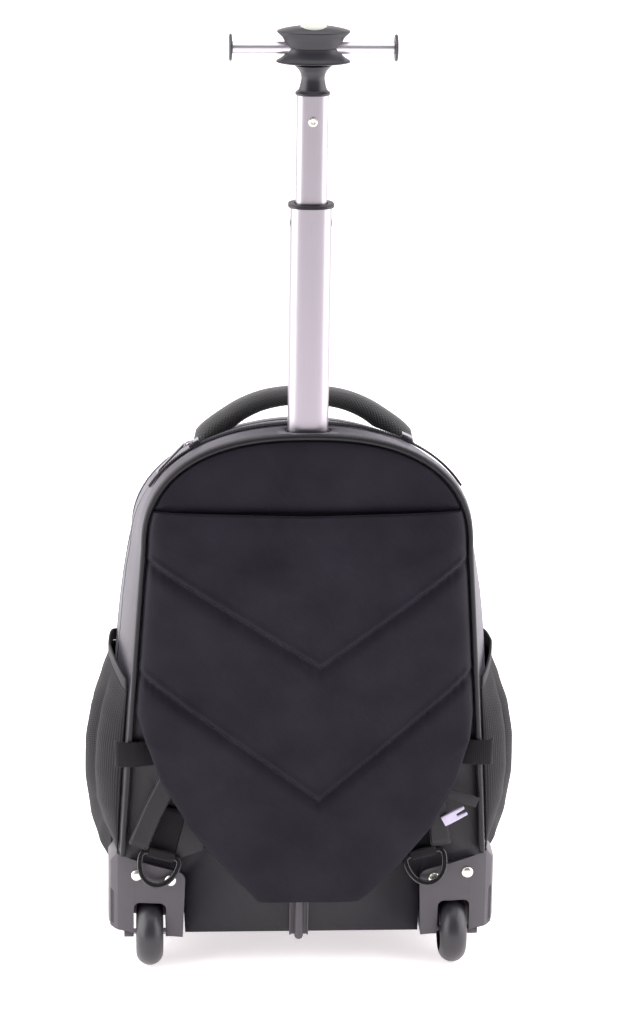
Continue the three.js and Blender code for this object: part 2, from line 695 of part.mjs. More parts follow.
for (const name of Object.keys(sides)) {
  addPiece(`shoulder_strap_${name}`, shoulderStrap(name), materials.padded);
  addPiece(`ring_webbing_${name}`, ringWebbing(name), materials.web);
  addPiece(`d_ring_${name}`, dRing(name), materials.gloss);
  addPiece(`strap_anchor_${name}`, strapAnchor(name), materials.fabric);
  addPiece(`side_tab_${name}`, sideTab(name), materials.web);
}

// The pale adjuster buckle and its webbing tail on the right strap

const strapFace = -strapBack - strap.thickness - gap;

function slantedPlate(piece, points) {
  const geometry = plate(points, -piece.thickness, 0);
  geometry.rotateY(-piece.slope);
  geometry.translate(piece.inner, strapFace, piece.height);
  return geometry;
}

function strapBuckle() {
  const [length, half] = [buckle.length, buckle.width / 2];
  return slantedPlate(buckle, [
    [0, -half], [length * 0.55, -half], [length, -half * 0.9], [length, -half * 0.4],
    [length * 0.6, -half * 0.25], [length * 0.6, half * 0.25], [length, half * 0.4],
    [length, half * 0.9], [length * 0.55, half], [0, half],
  ]);
}

function buckleTail() {
  const half = tail.width / 2;
  return slantedPlate(tail, [[0, -half], [tail.length, -half], [tail.length, half], [0, half]]);
}

addPiece('strap_buckle', strapBuckle(), materials.pale);
addPiece('buckle_tail', buckleTail(), materials.web);

// Mesh side pockets, open on top, gathered in folds under an elastic binding

const pocketColumns = 10;

function pocketPoint(side, r, c, outward) {
  const row = pocketRows[r];
  const share = c / pocketColumns;
  const depth = lerp(pocket.back, pocket.front, share);
  const { overHousing, seamSlope } = pocketForm;
  const beyond = Math.max(depth - housing.depth - gap, 0);
  const seam = Math.max(pocket.bottom, housing.top + overHousing - beyond * seamSlope);
  const mouth = pocket.mouth - pocketForm.droop * (2 * share - 0.9) ** 2;
  const height = lerp(seam, mouth, row.height);
  const bow = Math.sin(Math.PI * share) ** pocketForm.bow;
  const gathered = 6.75 * row.height ** 2 * (1 - row.height);
  const fold = Math.cos(2 * Math.PI * pocketForm.folds * share) * gathered * pocketForm.gather;
  const swell = bow * row.swell * (pocketForm.swell + fold);
  return vec(side * (halfAt(depth, height) + pocket.seat + swell + outward), depth, height);
}

function meshPocket(side) {
  return slab(
    pocketRows.length - 1,
    pocketColumns,
    (r, c) => pocketPoint(side, r, c, pocket.wall),
    (r, c) => pocketPoint(side, r, c, 0),
  );
}

function pocketBinding(side) {
  const last = pocketRows.length - 1;
  const rise = [gap, gap + binding.height];
  const spare = (binding.thickness - pocket.wall) / 2;
  const edge = (r, c, outward) => pocketPoint(side, last, c, outward).add(vec(0, 0, rise[r]));
  return slab(1, pocketColumns, (r, c) => edge(r, c, pocket.wall + spare), (r, c) => edge(r, c, spare / 2));
}

for (const [name, side] of Object.entries(sides)) {
  addPiece(`mesh_pocket_${name}`, meshPocket(side), materials.mesh);
  addPiece(`pocket_binding_${name}`, pocketBinding(side), materials.trim);
}

// Wheel housings in the bag's lower rear corners, with their rivets, axles and wheels

// The housing's rear face, which curves forwards to its outer side: across is a share of the housing's width,
// back a share of its curve
const housingFaceRows = [
  { across: 0.00, back: 0.00 },
  { across: 0.42, back: 0.02 },
  { across: 0.67, back: 0.13 },
  { across: 0.88, back: 0.38 },
  { across: 0.97, back: 0.68 },
  { across: 1.00, back: 1.00 },
];

function housingFace(x) {
  const share = (x - housing.inner) / (housing.outer - housing.inner);
  return rowAt(housingFaceRows, 'across', share).back * housing.curve - housing.proud;
}

function housingProfile(side) {
  const width = housing.outer - housing.inner;
  const face = housingFaceRows
    .map((row) => [housing.inner + row.across * width, row.back * housing.curve - housing.proud]);
  const points = [...face, [housing.outer, housing.depth], [housing.inner, housing.depth]];
  return column(points.map(([x, y]) => [side * x, y]), 0, housing.top + past);
}

function slotOutline(side) {
  const { inner, outer, top, corner } = slot;
  const points = [
    [inner, -past],
    ...arc([inner + corner, top - corner], corner, 180, 90, 3),
    ...arc([outer - corner, top - corner], corner, 90, 0, 3),
    [outer, -past],
  ];
  return points.map(([x, z]) => [side * x, z]);
}

function alongX(geometry, x) {
  geometry.rotateZ(Math.PI / 2);
  geometry.translate(x, wheel.depth, wheel.radius);
  return geometry;
}

function wheelHousing(side) {
  const body = toManifold(plate(housingOutline(side), -past, housing.depth))
    .intersect(toManifold(housingProfile(side)));
  const lugs = [slot.inner - lug.width / 2, slot.outer + lug.width / 2]
    .map((x) => toManifold(alongX(cylinder(lug.radius, lug.width, 14), side * x)));
  const joined = lugs.reduce((whole, one) => whole.add(one), body);
  const well = toManifold(plate(slotOutline(side), -past, slot.depth));
  const middle = (side * (slot.inner + slot.outer)) / 2;
  const boreLength = slot.outer - slot.inner + 2 * (axle.seat + gap);
  const bore = toManifold(alongX(cylinder(axle.radius + gap, boreLength, 12), middle));
  return fromManifold(joined.subtract(well).subtract(bore));
}

const rivetPlaces = {
  inner: [housing.inner + rivet.inner[0], housing.top - rivet.inner[1]],
  outer: [housing.outer - rivet.outer[0], housing.top - rivet.outer[1]],
};

function rivetHead(side, [x, z]) {
  const { radius, proud } = rivet;
  const profile = [[0, 0], [radius, 0], [radius, proud * 0.45], [radius * 0.7, proud * 0.9], [0, proud]];
  const geometry = new THREE.LatheGeometry(profile.map(([r, y]) => new THREE.Vector2(r, y)), rivet.sides);
  geometry.rotateX(Math.PI);
  geometry.translate(side * x, housingFace(x - radius) - gap, z);
  return turnedOut(geometry);
}

function ringLathe(profile, count) {
  const points = [...profile, profile[0]].map(([r, y]) => new THREE.Vector2(r, y));
  return turnedOut(new THREE.LatheGeometry(points, count));
}

function tyre(side) {
  const { radius, width, tyre: depth } = wheel;
  const half = width / 2;
  const crown = arc([radius - half, 0], half, -75, 75, 6).map(([r, y]) => [r, y]);
  const profile = [[radius - depth, -half * 0.8], ...crown, [radius - depth, half * 0.8]];
  return alongX(ringLathe(profile, 24), side * (slot.inner + slot.outer) / 2);
}

function hub(side) {
  const outer = wheel.radius - wheel.tyre - gap;
  const bore = axle.radius + axle.running;
  const half = wheel.hubWidth / 2;
  const profile = [[bore, -half], [outer, -half * 0.9], [outer, half * 0.9], [bore, half]];
  return alongX(ringLathe(profile, 24), side * (slot.inner + slot.outer) / 2);
}

for (const [name, side] of Object.entries(sides)) {
  const middle = side * (slot.inner + slot.outer) / 2;
  const length = slot.outer - slot.inner + 2 * axle.seat;
  addPiece(`wheel_housing_${name}`, wheelHousing(side), materials.plastic);
  addPiece(`rivet_inner_${name}`, rivetHead(side, rivetPlaces.inner), materials.bright);
  addPiece(`rivet_outer_${name}`, rivetHead(side, rivetPlaces.outer), materials.bright);
  addPiece(`axle_${name}`, alongX(cylinder(axle.radius, length, 12), middle), materials.zipMetal);
  addPiece(`tyre_${name}`, tyre(side), materials.tyre);
  addPiece(`wheel_hub_${name}`, hub(side), materials.plastic);
}

// The ribbed rail on the back's centre line and the two front feet

function footRail() {
  const { half, base, rib, nose, bottom, top } = rail;
  const { width, proud } = railEdge;
  const profile = [[half, 0], [half, base + proud], [half - width, base + proud], [half - width, base]];
  const mirrored = profile.map(([x, t]) => [-x, t]).reverse();
  const track = column([...profile, ...mirrored].map(([x, t]) => [x, -gap - t]), bottom, top);
  const ringAt = (radius, height) => arc([0, -gap - rib], radius, 0, 324, 9)
    .map(([x, y]) => vec(x, y, height));
  const low = bottom - nose;
  const bulb = loft([
    ringAt(rib * 0.5, low),
    ringAt(rib * 0.87, low + rib * 0.4),
    ringAt(rib, low + rib),
    ringAt(rib, top),
  ]);
  const geometry = fromManifold(toManifold(track).add(toManifold(bulb)));
  geometry.translate(rail.place, 0, 0);
  return geometry;
}

function frontFoot(side) {
  const [x, y, corner] = [foot.length / 2, foot.depth / 2, foot.corner];
  const corners = [[x, y, 0], [-x, y, 90], [-x, -y, 180], [x, -y, 270]];
  const outline = (inset) => corners.flatMap(([cx, cy, from]) => arc(
    [Math.sign(cx) * (Math.abs(cx) - corner), Math.sign(cy) * (Math.abs(cy) - corner)],
    corner - inset, from, from + 90, 2,
  ));
  const ringAt = (inset, height) => outline(inset)
    .map(([px, py]) => vec(side * foot.place + px, foot.setback + py, height));
  return loft([ringAt(foot.bevel, 0), ringAt(0, foot.bevel), ringAt(0, bag.bottom - gap)]);
}

addPiece('foot_rail', footRail(), materials.plastic);
for (const [name, side] of Object.entries(sides)) {
  addPiece(`front_foot_${name}`, frontFoot(side), materials.plastic);
}

// The padded carry handle on the crown behind the trolley

function carryHandle() {
  const seatAt = (x, depth) => crownAt(depth, x) + handle.seat;
  const low = seatAt(handle.foot, handle.depth);
  const right = handleRows.map((row) => ({
    x: row.across * handle.foot,
    z: lerp(low, handle.rise, row.rise),
    half: lerp(handle.thickness, handle.footThickness, row.thick) / 2,
  }));
  const path = [...right, ...right.map((p) => ({ ...p, x: -p.x })).reverse()];
  const last = path.length - 1;
  const rings = path.map((p, i) => {
    const before = path[Math.max(i - 1, 0)];
    const after = path[Math.min(i + 1, last)];
    const across = vec(after.z - before.z, 0, before.x - after.x).normalize();
    return Array.from({ length: handleSides }, (_, k) => {
      const angle = (2 * Math.PI * (k + 0.5)) / handleSides;
      const [wide, deep] = [p.half * Math.cos(angle), (handle.width / 2) * Math.sin(angle)];
      const point = vec(p.x, handle.depth + deep, p.z).addScaledVector(across, wide);
      if (i === 0 || i === last) {
        point.x = p.x + Math.sign(p.x) * wide;
        point.z = seatAt(point.x, point.y);
      }
      point.z = Math.max(point.z, seatAt(point.x, point.y));
      return point;
    });
  });
  return loft(rings);
}

addPiece('carry_handle', carryHandle(), materials.padded);

// The zip over the crown, with a slider at each side and the left slider's ring and long pull

function surfacePoint(depth, across, lift) {
  const height = crownAt(depth, across);
  const slope = (crownAt(depth, across + 1) - crownAt(depth, across - 1)) / 2;
  const normal = vec(-slope, 0, 1).normalize();
  return { point: vec(across, depth, height).addScaledVector(normal, lift), normal };
}

function zipStrip() {
  const edge = (depth, lift) => archPath(depth, -lift, bag.bottom + bag.corner, sideSteps, archSteps)
    .slice(zip.skip, -zip.skip)
    .map(([x, z]) => vec(x, depth, z));
  const [near, far] = [zip.depth - zip.width / 2, zip.depth + zip.width / 2];
  const top = zip.lift + zip.thickness;
  const lines = [edge(near, zip.lift), edge(near, top), edge(far, top), edge(far, zip.lift)];
  return loft(lines[0].map((_, k) => lines.map((line) => line[k])));
}

// A block laid on the bag's surface, its length along the arch
function laidBlock(size, depth, across, lift) {
  const { point, normal } = surfacePoint(depth, across, lift);
  const geometry = new THREE.BoxGeometry(size.length, size.width, size.thickness);
  geometry.rotateY(Math.atan2(normal.x, normal.z));
  geometry.translate(point.x, point.y, point.z);
  return geometry;
}

const zipTop = zip.lift + zip.thickness + slider.lift;

function zipSlider(across) {
  return laidBlock(slider, zip.depth, across, zipTop + slider.thickness / 2);
}

function zipRing() {
  const lift = zipTop + slider.thickness + gap + pullRing.wire;
  const { point, normal } = surfacePoint(zip.depth, slider.left, lift);
  const path = arc([-pullRing.along, -pullRing.back], pullRing.radius, 0, 315, 7)
    .map(([x, y]) => vec(x, y, 0));
  const geometry = roundSweep(path, pullRing.wire, 5, vec(0, 0, 1), true);
  geometry.rotateY(Math.atan2(normal.x, normal.z));
  geometry.translate(point.x, point.y, point.z);
  return geometry;
}

function zipPull() {
  const from = surfacePoint(zip.depth - pull.start, slider.left - pull.start, zipTop + pull.lift).point;
  const toward = surfacePoint(zip.depth - pull.setback, slider.left - pull.length, pull.lift).point;
  const along = toward.clone().sub(from).normalize();
  const across = along.clone().cross(vec(0, 1, 0)).normalize().cross(along).normalize();
  const normal = along.clone().cross(across);
  const ringAt = (t, half) => [[-1, -1], [1, -1], [1, 1], [-1, 1]].map(([a, b]) => from.clone()
    .addScaledVector(along, t)
    .addScaledVector(across, a * half)
    .addScaledVector(normal, (b * pull.thickness) / 2));
  const half = pull.width / 2;
  const end = half * pull.taper;
  const { length, tip } = pull;
  return loft([ringAt(0, end), ringAt(tip, half), ringAt(length - tip, half), ringAt(length, end)]);
}

addPiece('zip', zipStrip(), materials.trim);
addPiece('zip_slider_left', zipSlider(slider.left), materials.zipMetal);
addPiece('zip_slider_right', zipSlider(slider.right), materials.zipMetal);
addPiece('zip_ring_left', zipRing(), materials.zipMetal);
addPiece('zip_pull_left', zipPull(), materials.zipMetal);

// The trolley: a sleeve in the bag, a lower stage with its collar and lock pins, and an upper stage

function trolleySleeve() {
  const around = 2 * (sleeve.running + sleeve.wall);
  const [width, depth] = [lowerTube.width + around, lowerTube.depth + around];
  return ovalTube({ ...sleeve, width, depth, bottom: bag.bottom + bag.wall + gap });
}

function trolleyCollar() {
  const { flange, height, running } = collar;
  const [width, depth] = [lowerTube.width + 2 * flange, lowerTube.depth + 2 * flange];
  const [boreWidth, boreDepth] = [upperTube.width + 2 * running, upperTube.depth + 2 * running];
  const bottom = lowerTube.top + gap;
  return loft([
    ovalRing(width, depth, bottom),
    ovalRing(width, depth, bottom + height),
    ovalRing(boreWidth, boreDepth, bottom + height),
    ovalRing(boreWidth, boreDepth, bottom),
  ], true);
}

function lockPinAt(side) {
  const geometry = cylinder(lockPin.radius, lockPin.proud, 8);
  geometry.rotateZ(Math.PI / 2);
  const x = lowerTube.width / 2 + lockPin.off + lockPin.proud / 2;
  geometry.translate(side * x, trolleyDepth, lowerTube.top - lockPin.drop);
  return geometry;
}

function crossScrew() {
  const { radius, proud, recess, slotWidth } = tubeScrew;
  const face = trolleyDepth - upperTube.depth / 2 - gap;
  const head = cylinder(radius, proud, 14);
  head.translate(0, face - proud / 2, upperTube.top - tubeScrew.drop);
  const slots = [[radius, slotWidth], [slotWidth, radius]].map(([wide, tall]) => {
    const bit = new THREE.BoxGeometry(wide, recess * 2, tall);
    bit.translate(0, face - proud, upperTube.top - tubeScrew.drop);
    return bit;
  });
  return cut(head, slots);
}

addPiece('trolley_sleeve', trolleySleeve(), materials.plastic);
addPiece('lower_tube', ovalTube(lowerTube), materials.tube);
addPiece('tube_collar', trolleyCollar(), materials.trim);
for (const [name, side] of Object.entries(sides)) {
  addPiece(`lock_pin_${name}`, lockPinAt(side), materials.trim);
}
addPiece('upper_tube', ovalTube(upperTube), materials.tube);
addPiece('tube_screw', crossScrew(), materials.bright);

// The T-handle: an oval waisted neck and grip round a cross bar, with end caps and a push button

function ovalLathe(profile, deep) {
  return loft(profile.map(([half, height]) => ovalRing(2 * half, 2 * half * deep, height, 2.2)));
}

function neckBody() {
  const at = (share) => neckBottom + share * neck.height;
  return ovalLathe([
    [neck.footHalf, at(0)],
    [neck.footHalf, at(0.07)],
    [neck.footHalf * 0.82, at(0.16)],
    [neck.waistHalf * 1.05, at(0.4)],
    [neck.waistHalf, at(0.58)],
    [neck.waistHalf * 1.15, at(0.78)],
    [neck.headHalf, at(1)],
  ], neck.deep);
}

function gripHalf(profile) {
  const channel = cylinder(bar.radius + gap, 2 * bar.half, 14);
  channel.rotateZ(Math.PI / 2);
  channel.translate(0, trolleyDepth, gripPart);
  const well = cylinder(button.radius + button.running, 2 * button.length, button.sides);
  well.rotateX(Math.PI / 2);
  well.translate(0, trolleyDepth, buttonTop - button.travel * 1.5);
  return cut(ovalLathe(profile, grip.deep), [channel, well]);
}

function gripLower() {
  const { flangeHalf, waistHalf } = grip;
  const at = (share) => lerp(gripBottom, gripPart - gap / 2, share);
  return gripHalf([
    [flangeHalf * 0.55, at(0)],
    [flangeHalf * 0.97, at(0.13)],
    [flangeHalf, at(0.24)],
    [flangeHalf * 0.86, at(0.44)],
    [waistHalf * 1.05, at(0.76)],
    [waistHalf, at(1)],
  ]);
}

function gripUpper() {
  const { flangeHalf, waistHalf } = grip;
  const at = (share) => lerp(gripPart + gap / 2, gripTop, share);
  return gripHalf([
    [waistHalf, at(0)],
    [waistHalf * 1.12, at(0.24)],
    [flangeHalf * 0.86, at(0.5)],
    [flangeHalf, at(0.74)],
    [flangeHalf * 0.95, at(0.83)],
    [flangeHalf * 0.72, at(0.93)],
    [flangeHalf * 0.5, at(1)],
  ]);
}

function crossBar() {
  const geometry = cylinder(bar.radius, 2 * bar.half, 14);
  geometry.rotateZ(Math.PI / 2);
  geometry.translate(0, trolleyDepth, gripPart);
  return geometry;
}

function barCap(side) {
  const geometry = cylinder(bar.cap, bar.capWidth, 18);
  geometry.rotateZ(Math.PI / 2);
  geometry.translate(side * (bar.half + gap + bar.capWidth / 2), trolleyDepth, gripPart);
  return geometry;
}

function pushButton() {
  const { radius, length, bevel, sides: count } = button;
  const top = buttonTop;
  const low = top - length;
  const profile = [[0, low], [radius, low], [radius, top - bevel], [radius - bevel, top], [0, top]];
  const geometry = new THREE.LatheGeometry(profile.map(([r, y]) => new THREE.Vector2(r, y)), count);
  geometry.rotateX(Math.PI / 2);
  geometry.translate(0, trolleyDepth, 0);
  return turnedOut(geometry);
}

addPiece('grip_neck', neckBody(), materials.trim);
addPiece('grip_lower', gripLower(), materials.trim);
addPiece('grip_upper', gripUpper(), materials.trim);
addPiece('cross_bar', crossBar(), materials.tube);
for (const [name, side] of Object.entries(sides)) {
  addPiece(`bar_cap_${name}`, barCap(side), materials.trim);
}
addPiece('push_button', pushButton(), materials.trim);

// Centred over its footprint, between the wheels' rear and the bag's front
const rearReach = wheel.depth - wheel.radius;
backpack.position.y = -(rearReach + bag.depth) / 2;

export default backpack;
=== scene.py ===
# %% [markdown]
# A wheeled backpack on its CAD frame. The real object is a soft black bag. A padded flap covers its back,
# mesh pockets swell at its sides, wheels sit in its two lower corners, and a telescopic tube with a
# T-handle rises behind the back panel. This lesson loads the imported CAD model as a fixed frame, makes each
# soft piece as finer mesh in the same place, smooths the hard pieces, and gives every surface a finish that
# is worked out from real millimetres.

# %% Load the frame
import math

import bmesh
import bpy
from mathutils import Matrix, Quaternion, Vector, noise


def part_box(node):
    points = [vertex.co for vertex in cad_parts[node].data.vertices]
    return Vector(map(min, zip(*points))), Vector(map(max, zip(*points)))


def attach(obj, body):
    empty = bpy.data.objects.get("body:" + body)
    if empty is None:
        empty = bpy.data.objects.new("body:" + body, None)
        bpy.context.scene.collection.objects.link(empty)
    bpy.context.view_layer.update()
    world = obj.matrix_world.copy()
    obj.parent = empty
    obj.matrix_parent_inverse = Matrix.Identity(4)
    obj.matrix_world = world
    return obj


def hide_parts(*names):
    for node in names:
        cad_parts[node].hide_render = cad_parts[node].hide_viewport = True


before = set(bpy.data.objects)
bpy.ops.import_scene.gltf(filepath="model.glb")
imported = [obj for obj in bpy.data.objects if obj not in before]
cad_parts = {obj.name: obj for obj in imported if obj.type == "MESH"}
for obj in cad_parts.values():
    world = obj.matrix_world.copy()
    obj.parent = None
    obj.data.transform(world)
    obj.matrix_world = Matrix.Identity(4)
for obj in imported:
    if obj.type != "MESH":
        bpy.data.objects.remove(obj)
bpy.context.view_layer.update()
MM = 0.001
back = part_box("rear_shell")[0].y / MM
print("nodes:", len(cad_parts), "back panel at", round(back, 2), "mm")

# %% [markdown]
# The camera comes first, because everything is judged through it. The photograph was taken from 3.2 m
# behind the bag and 1.5 m above the floor, a little to its left, with a long lens. A pinhole camera was
# fitted to sizes that are known, such as the wheels and the tube, and its numbers are kept here as real
# distances and angles.

# %% Camera
CAMERA_HEIGHT = 1.5
CAMERA_DISTANCE = 3.2
CAMERA_SIDE = math.radians(-3.5)
CAMERA_HEADING = math.radians(3.544)
CAMERA_PITCH = math.radians(18.09)
CAMERA_ROLL = math.radians(0.876)
FOCAL_PIXELS = 3672.8
LONG_SIDE_PIXELS = 1024
SENSOR_MM = 36


def make_camera():
    data = bpy.data.cameras.new("photo_camera")
    data.sensor_width = SENSOR_MM
    data.lens = FOCAL_PIXELS / LONG_SIDE_PIXELS * SENSOR_MM
    camera = bpy.data.objects.new("photo_camera", data)
    bpy.context.scene.collection.objects.link(camera)
    level = math.cos(CAMERA_PITCH)
    across, ahead = math.sin(CAMERA_HEADING) * level, math.cos(CAMERA_HEADING) * level
    direction = Vector((across, ahead, -math.sin(CAMERA_PITCH)))
    from_bag = Vector((math.sin(CAMERA_SIDE), -math.cos(CAMERA_SIDE), 0)) * CAMERA_DISTANCE
    camera.location = from_bag + Vector((0, back * MM, CAMERA_HEIGHT))
    camera.rotation_mode = "QUATERNION"
    camera.rotation_quaternion = direction.to_track_quat("-Z", "Y") @ Quaternion((0, 0, 1), CAMERA_ROLL)
    bpy.context.scene.camera = camera
    return camera


camera = make_camera()
print("camera at", [round(v, 3) for v in camera.location], "lens", round(camera.data.lens, 1), "mm")

# %% [markdown]
# Most pieces are skins over a row of cross-sections. One helper makes a closed mesh from points in
# millimetres, turns its faces outwards, and stores a UV map that is measured in millimetres too, so that a
# weave can follow the surface. A second one skins rings, and a third one makes a padded sheet from two
# surfaces.

# %% Mesh helpers


def lerp(a, b, share):
    return a + (b - a) * share


def to_frame(p):
    """A point across, forwards from the back panel and up, in mm, as a point of the frame in metres."""
    return Vector((p[0], p[1] + back, p[2])) * MM


def enclosed(points, faces):
    """Six times the volume inside the faces, negative if they point inwards."""
    total = 0.0
    for face in faces:
        a = points[face[0]]
        for i in range(1, len(face) - 1):
            total += a.dot(points[face[i]].cross(points[face[i + 1]]))
    return total


def solid(name, points, faces, uvs=None):
    """A closed piece from points in mm, its faces outwards. uvs holds one (u, v) in mm per face corner."""
    points = [Vector(p) for p in points]
    if enclosed(points, faces) < 0:
        faces = [tuple(reversed(face)) for face in faces]
        uvs = [tuple(reversed(face)) for face in uvs] if uvs else None
    mesh = bpy.data.meshes.new(name)
    mesh.from_pydata([to_frame(p) for p in points], [], faces)
    if uvs:
        layer = mesh.uv_layers.new(name="surface")
        flat = [value for face in uvs for corner in face for value in corner]
        layer.data.foreach_set("uv", flat)
    mesh.polygons.foreach_set("use_smooth", [True] * len(mesh.polygons))
    piece = bpy.data.objects.new(name, mesh)
    bpy.context.scene.collection.objects.link(piece)
    return piece


def running_length(points):
    """The distance along a row of points, at each point."""
    total = [0.0]
    for a, b in zip(points, points[1:]):
        total.append(total[-1] + (Vector(b) - Vector(a)).length)
    return total


def skin(name, rings, loop=False, caps=True):
    """A skin over rings with equal counts of points, closed by caps, or joined end to start as a loop."""
    rings = [[Vector(p) for p in ring] for ring in rings]
    count, rows = len(rings[0]), len(rings)
    around = running_length(rings[rows // 2] + rings[rows // 2][:1])
    middles = [sum(ring, Vector()) / count for ring in rings]
    along = running_length(middles + middles[:1])
    faces, uvs = [], []
    for r in range(rows if loop else rows - 1):
        here, there = r * count, ((r + 1) % rows) * count
        for i in range(count):
            j = (i + 1) % count
            faces.append((here + i, here + j, there + j, there + i))
            low, high = along[r], along[r + 1]
            uvs.append(((around[i], low), (around[i + 1], low), (around[i + 1], high), (around[i], high)))
    if caps and not loop:
        for start, ring in ((0, list(range(count))[::-1]), ((rows - 1) * count, list(range(count)))):
            faces.append(tuple(start + i for i in ring))
            uvs.append(tuple((around[i], 0.0) for i in ring))
    return solid(name, [p for ring in rings for p in ring], faces, uvs)


def sheet_solid(name, outer, inner):
    """A sheet with thickness between two grids of points, outer[row][column] and inner[row][column]."""
    rows, columns = len(outer) - 1, len(outer[0]) - 1
    width = columns + 1
    layer = (rows + 1) * width
    points = [Vector(p) for grid in (outer, inner) for row in grid for p in row]
    across = running_length(outer[rows // 2])
    down = running_length([row[columns // 2] for row in outer])
    faces, uvs = [], []
    for r in range(rows):
        for c in range(columns):
            a, b = r * width + c, r * width + c + 1
            d, e = a + width, b + width
            near, far, top, low = across[c], across[c + 1], down[r], down[r + 1]
            corners = ((near, top), (far, top), (far, low), (near, low))
            faces += [(a, b, e, d), (layer + a, layer + d, layer + e, layer + b)]
            uvs += [corners, (corners[0], corners[3], corners[2], corners[1])]
    rim = [c for c in range(columns)] + [r * width + columns for r in range(rows)]
    rim += [rows * width + c for c in range(columns, 0, -1)] + [r * width for r in range(rows, 0, -1)]
    rim_edges = list(zip(rim, rim[1:] + rim[:1]))
    for a, b in rim_edges:
        faces.append((b, a, a + layer, b + layer))
        uvs.append(((0.0, 0.0),) * 4)
    piece = solid(name, points, faces, uvs)
    edge_of_sheet = {frozenset((a + shift, b + shift)) for a, b in rim_edges for shift in (0, layer)}
    weights = piece.data.attributes.new("bevel_weight_edge", "FLOAT", "EDGE")
    on_rim = [float(frozenset(e.vertices) in edge_of_sheet) for e in piece.data.edges]
    weights.data.foreach_set("value", on_rim)
    return piece


def settle(piece):
    """Turns a piece's modifiers into plain mesh."""
    bpy.context.view_layer.update()
    evaluated = piece.evaluated_get(bpy.context.evaluated_depsgraph_get())
    mesh = bpy.data.meshes.new_from_object(evaluated)
    piece.modifiers.clear()
    piece.data = mesh
    return piece


def round_edges(piece, width, segments=3, angle=40, rim_only=False):
    """Rounds the edges that are sharper than an angle, or only the rim of a sheet, by a width in mm."""
    bevel = piece.modifiers.new("rounded", "BEVEL")
    bevel.width = width * MM
    bevel.segments = segments
    bevel.limit_method = "WEIGHT" if rim_only else "ANGLE"
    bevel.angle_limit = math.radians(angle)
    bevel.use_clamp_overlap = True
    return settle(piece)


def cut_out(piece, *tools):
    """Cuts closed tool pieces out of a piece, and removes the tools."""
    for tool in tools:
        boolean = piece.modifiers.new("cut", "BOOLEAN")
        boolean.operation = "DIFFERENCE"
        boolean.solver = "EXACT"
        boolean.object = tool
        settle(piece)
        bpy.data.objects.remove(tool)
    return piece


def smooth_copy(node, name, bevel=0.0, segments=3):
    """A copy of a CAD node with its points merged and its flat faces joined, and its sharp edges rounded."""
    shape = bmesh.new()
    shape.from_mesh(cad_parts[node].data)
    bmesh.ops.remove_doubles(shape, verts=shape.verts, dist=0.005 * MM)
    bmesh.ops.dissolve_limit(shape, angle_limit=math.radians(1), verts=shape.verts, edges=shape.edges)
    mesh = bpy.data.meshes.new(name)
    shape.to_mesh(mesh)
    shape.free()
    piece = bpy.data.objects.new(name, mesh)
    bpy.context.scene.collection.objects.link(piece)
    if bevel:
        round_edges(piece, bevel, segments, angle=25)
    piece.data.set_sharp_from_angle(angle=math.radians(35))
    piece.data.polygons.foreach_set("use_smooth", [True] * len(piece.data.polygons))
    return piece


def arc(centre, radius, start, end, steps):
    """Points on an arc in a plane, from a start angle to an end angle in degrees."""
    angles = [math.radians(lerp(start, end, k / steps)) for k in range(steps + 1)]
    return [(centre[0] + radius * math.cos(a), centre[1] + radius * math.sin(a)) for a in angles]


def smooth_path(points, steps):
    """A smooth curve through points, with a number of steps between each two of them."""
    points = [Vector(p) for p in points]
    padded = [2 * points[0] - points[1], *points, 2 * points[-1] - points[-2]]
    path = []
    for i in range(1, len(padded) - 2):
        a, b, c, d = padded[i - 1:i + 3]
        for k in range(steps):
            t = k / steps
            path.append(0.5 * (2 * b + (c - a) * t + (2 * a - 5 * b + 4 * c - d) * t ** 2
                               + (3 * b - a - 3 * c + d) * t ** 3))
    return path + [points[-1]]


def sweep(name, path, profile, normal, loop=False):
    """A bar along a path. profile(share) gives (sideways, along the normal) pairs at a share of it."""
    path, normal = [Vector(p) for p in path], Vector(normal)
    last = len(path) - 1
    rings = []
    for i, p in enumerate(path):
        before = path[i - 1] if loop or i else path[0]
        after = path[(i + 1) % len(path)] if loop or i < last else path[last]
        side = (after - before).normalized().cross(normal).normalized()
        rings.append([p + side * a + normal * b for a, b in profile(i / last)])
    return skin(name, rings, loop)


def round_profile(radius, count):
    points = arc((0, 0), radius, 0, 360, count)[:-1]
    return lambda share: points


def rounded_bar(width, thickness, corner, steps=3):
    """The outline of a flat bar with rounded corners, centred, its width along the first direction."""
    x, y = width / 2 - corner, thickness / 2 - corner
    quarters = ((x, y, 0), (-x, y, 90), (-x, -y, 180), (x, -y, 270))
    return [p for cx, cy, a in quarters for p in arc((cx, cy), corner, a, a + 90, steps)]


print("mesh helpers ready")

# %% [markdown]
# Finishes. Each material starts from what the real one is. Colours are written as sRGB hex values, as they
# look in the photograph, and one function turns them into the linear values that the shader wants. One
# small function adds a node, sets its inputs and links it. A pattern's scale comes from a real spacing in
# millimetres.

# %% Material helpers


def linear(code):
    """The linear colour of an sRGB hex value."""
    parts = [int(code[i:i + 2], 16) / 255 for i in (1, 3, 5)]
    return (*[c / 12.92 if c <= 0.04045 else ((c + 0.055) / 1.055) ** 2.4 for c in parts], 1)


def add(tree, kind, settings=None, links=None):
    """Adds a node. settings go to its sockets or properties by name, and links come from other sockets."""
    node = tree.nodes.new(kind)
    for name, value in (settings or {}).items():
        if isinstance(name, int) or name in node.inputs:
            node.inputs[name].default_value = value
        else:
            setattr(node, name, value)
    for name, source in (links or {}).items():
        tree.links.new(source, node.inputs[name])
    return node


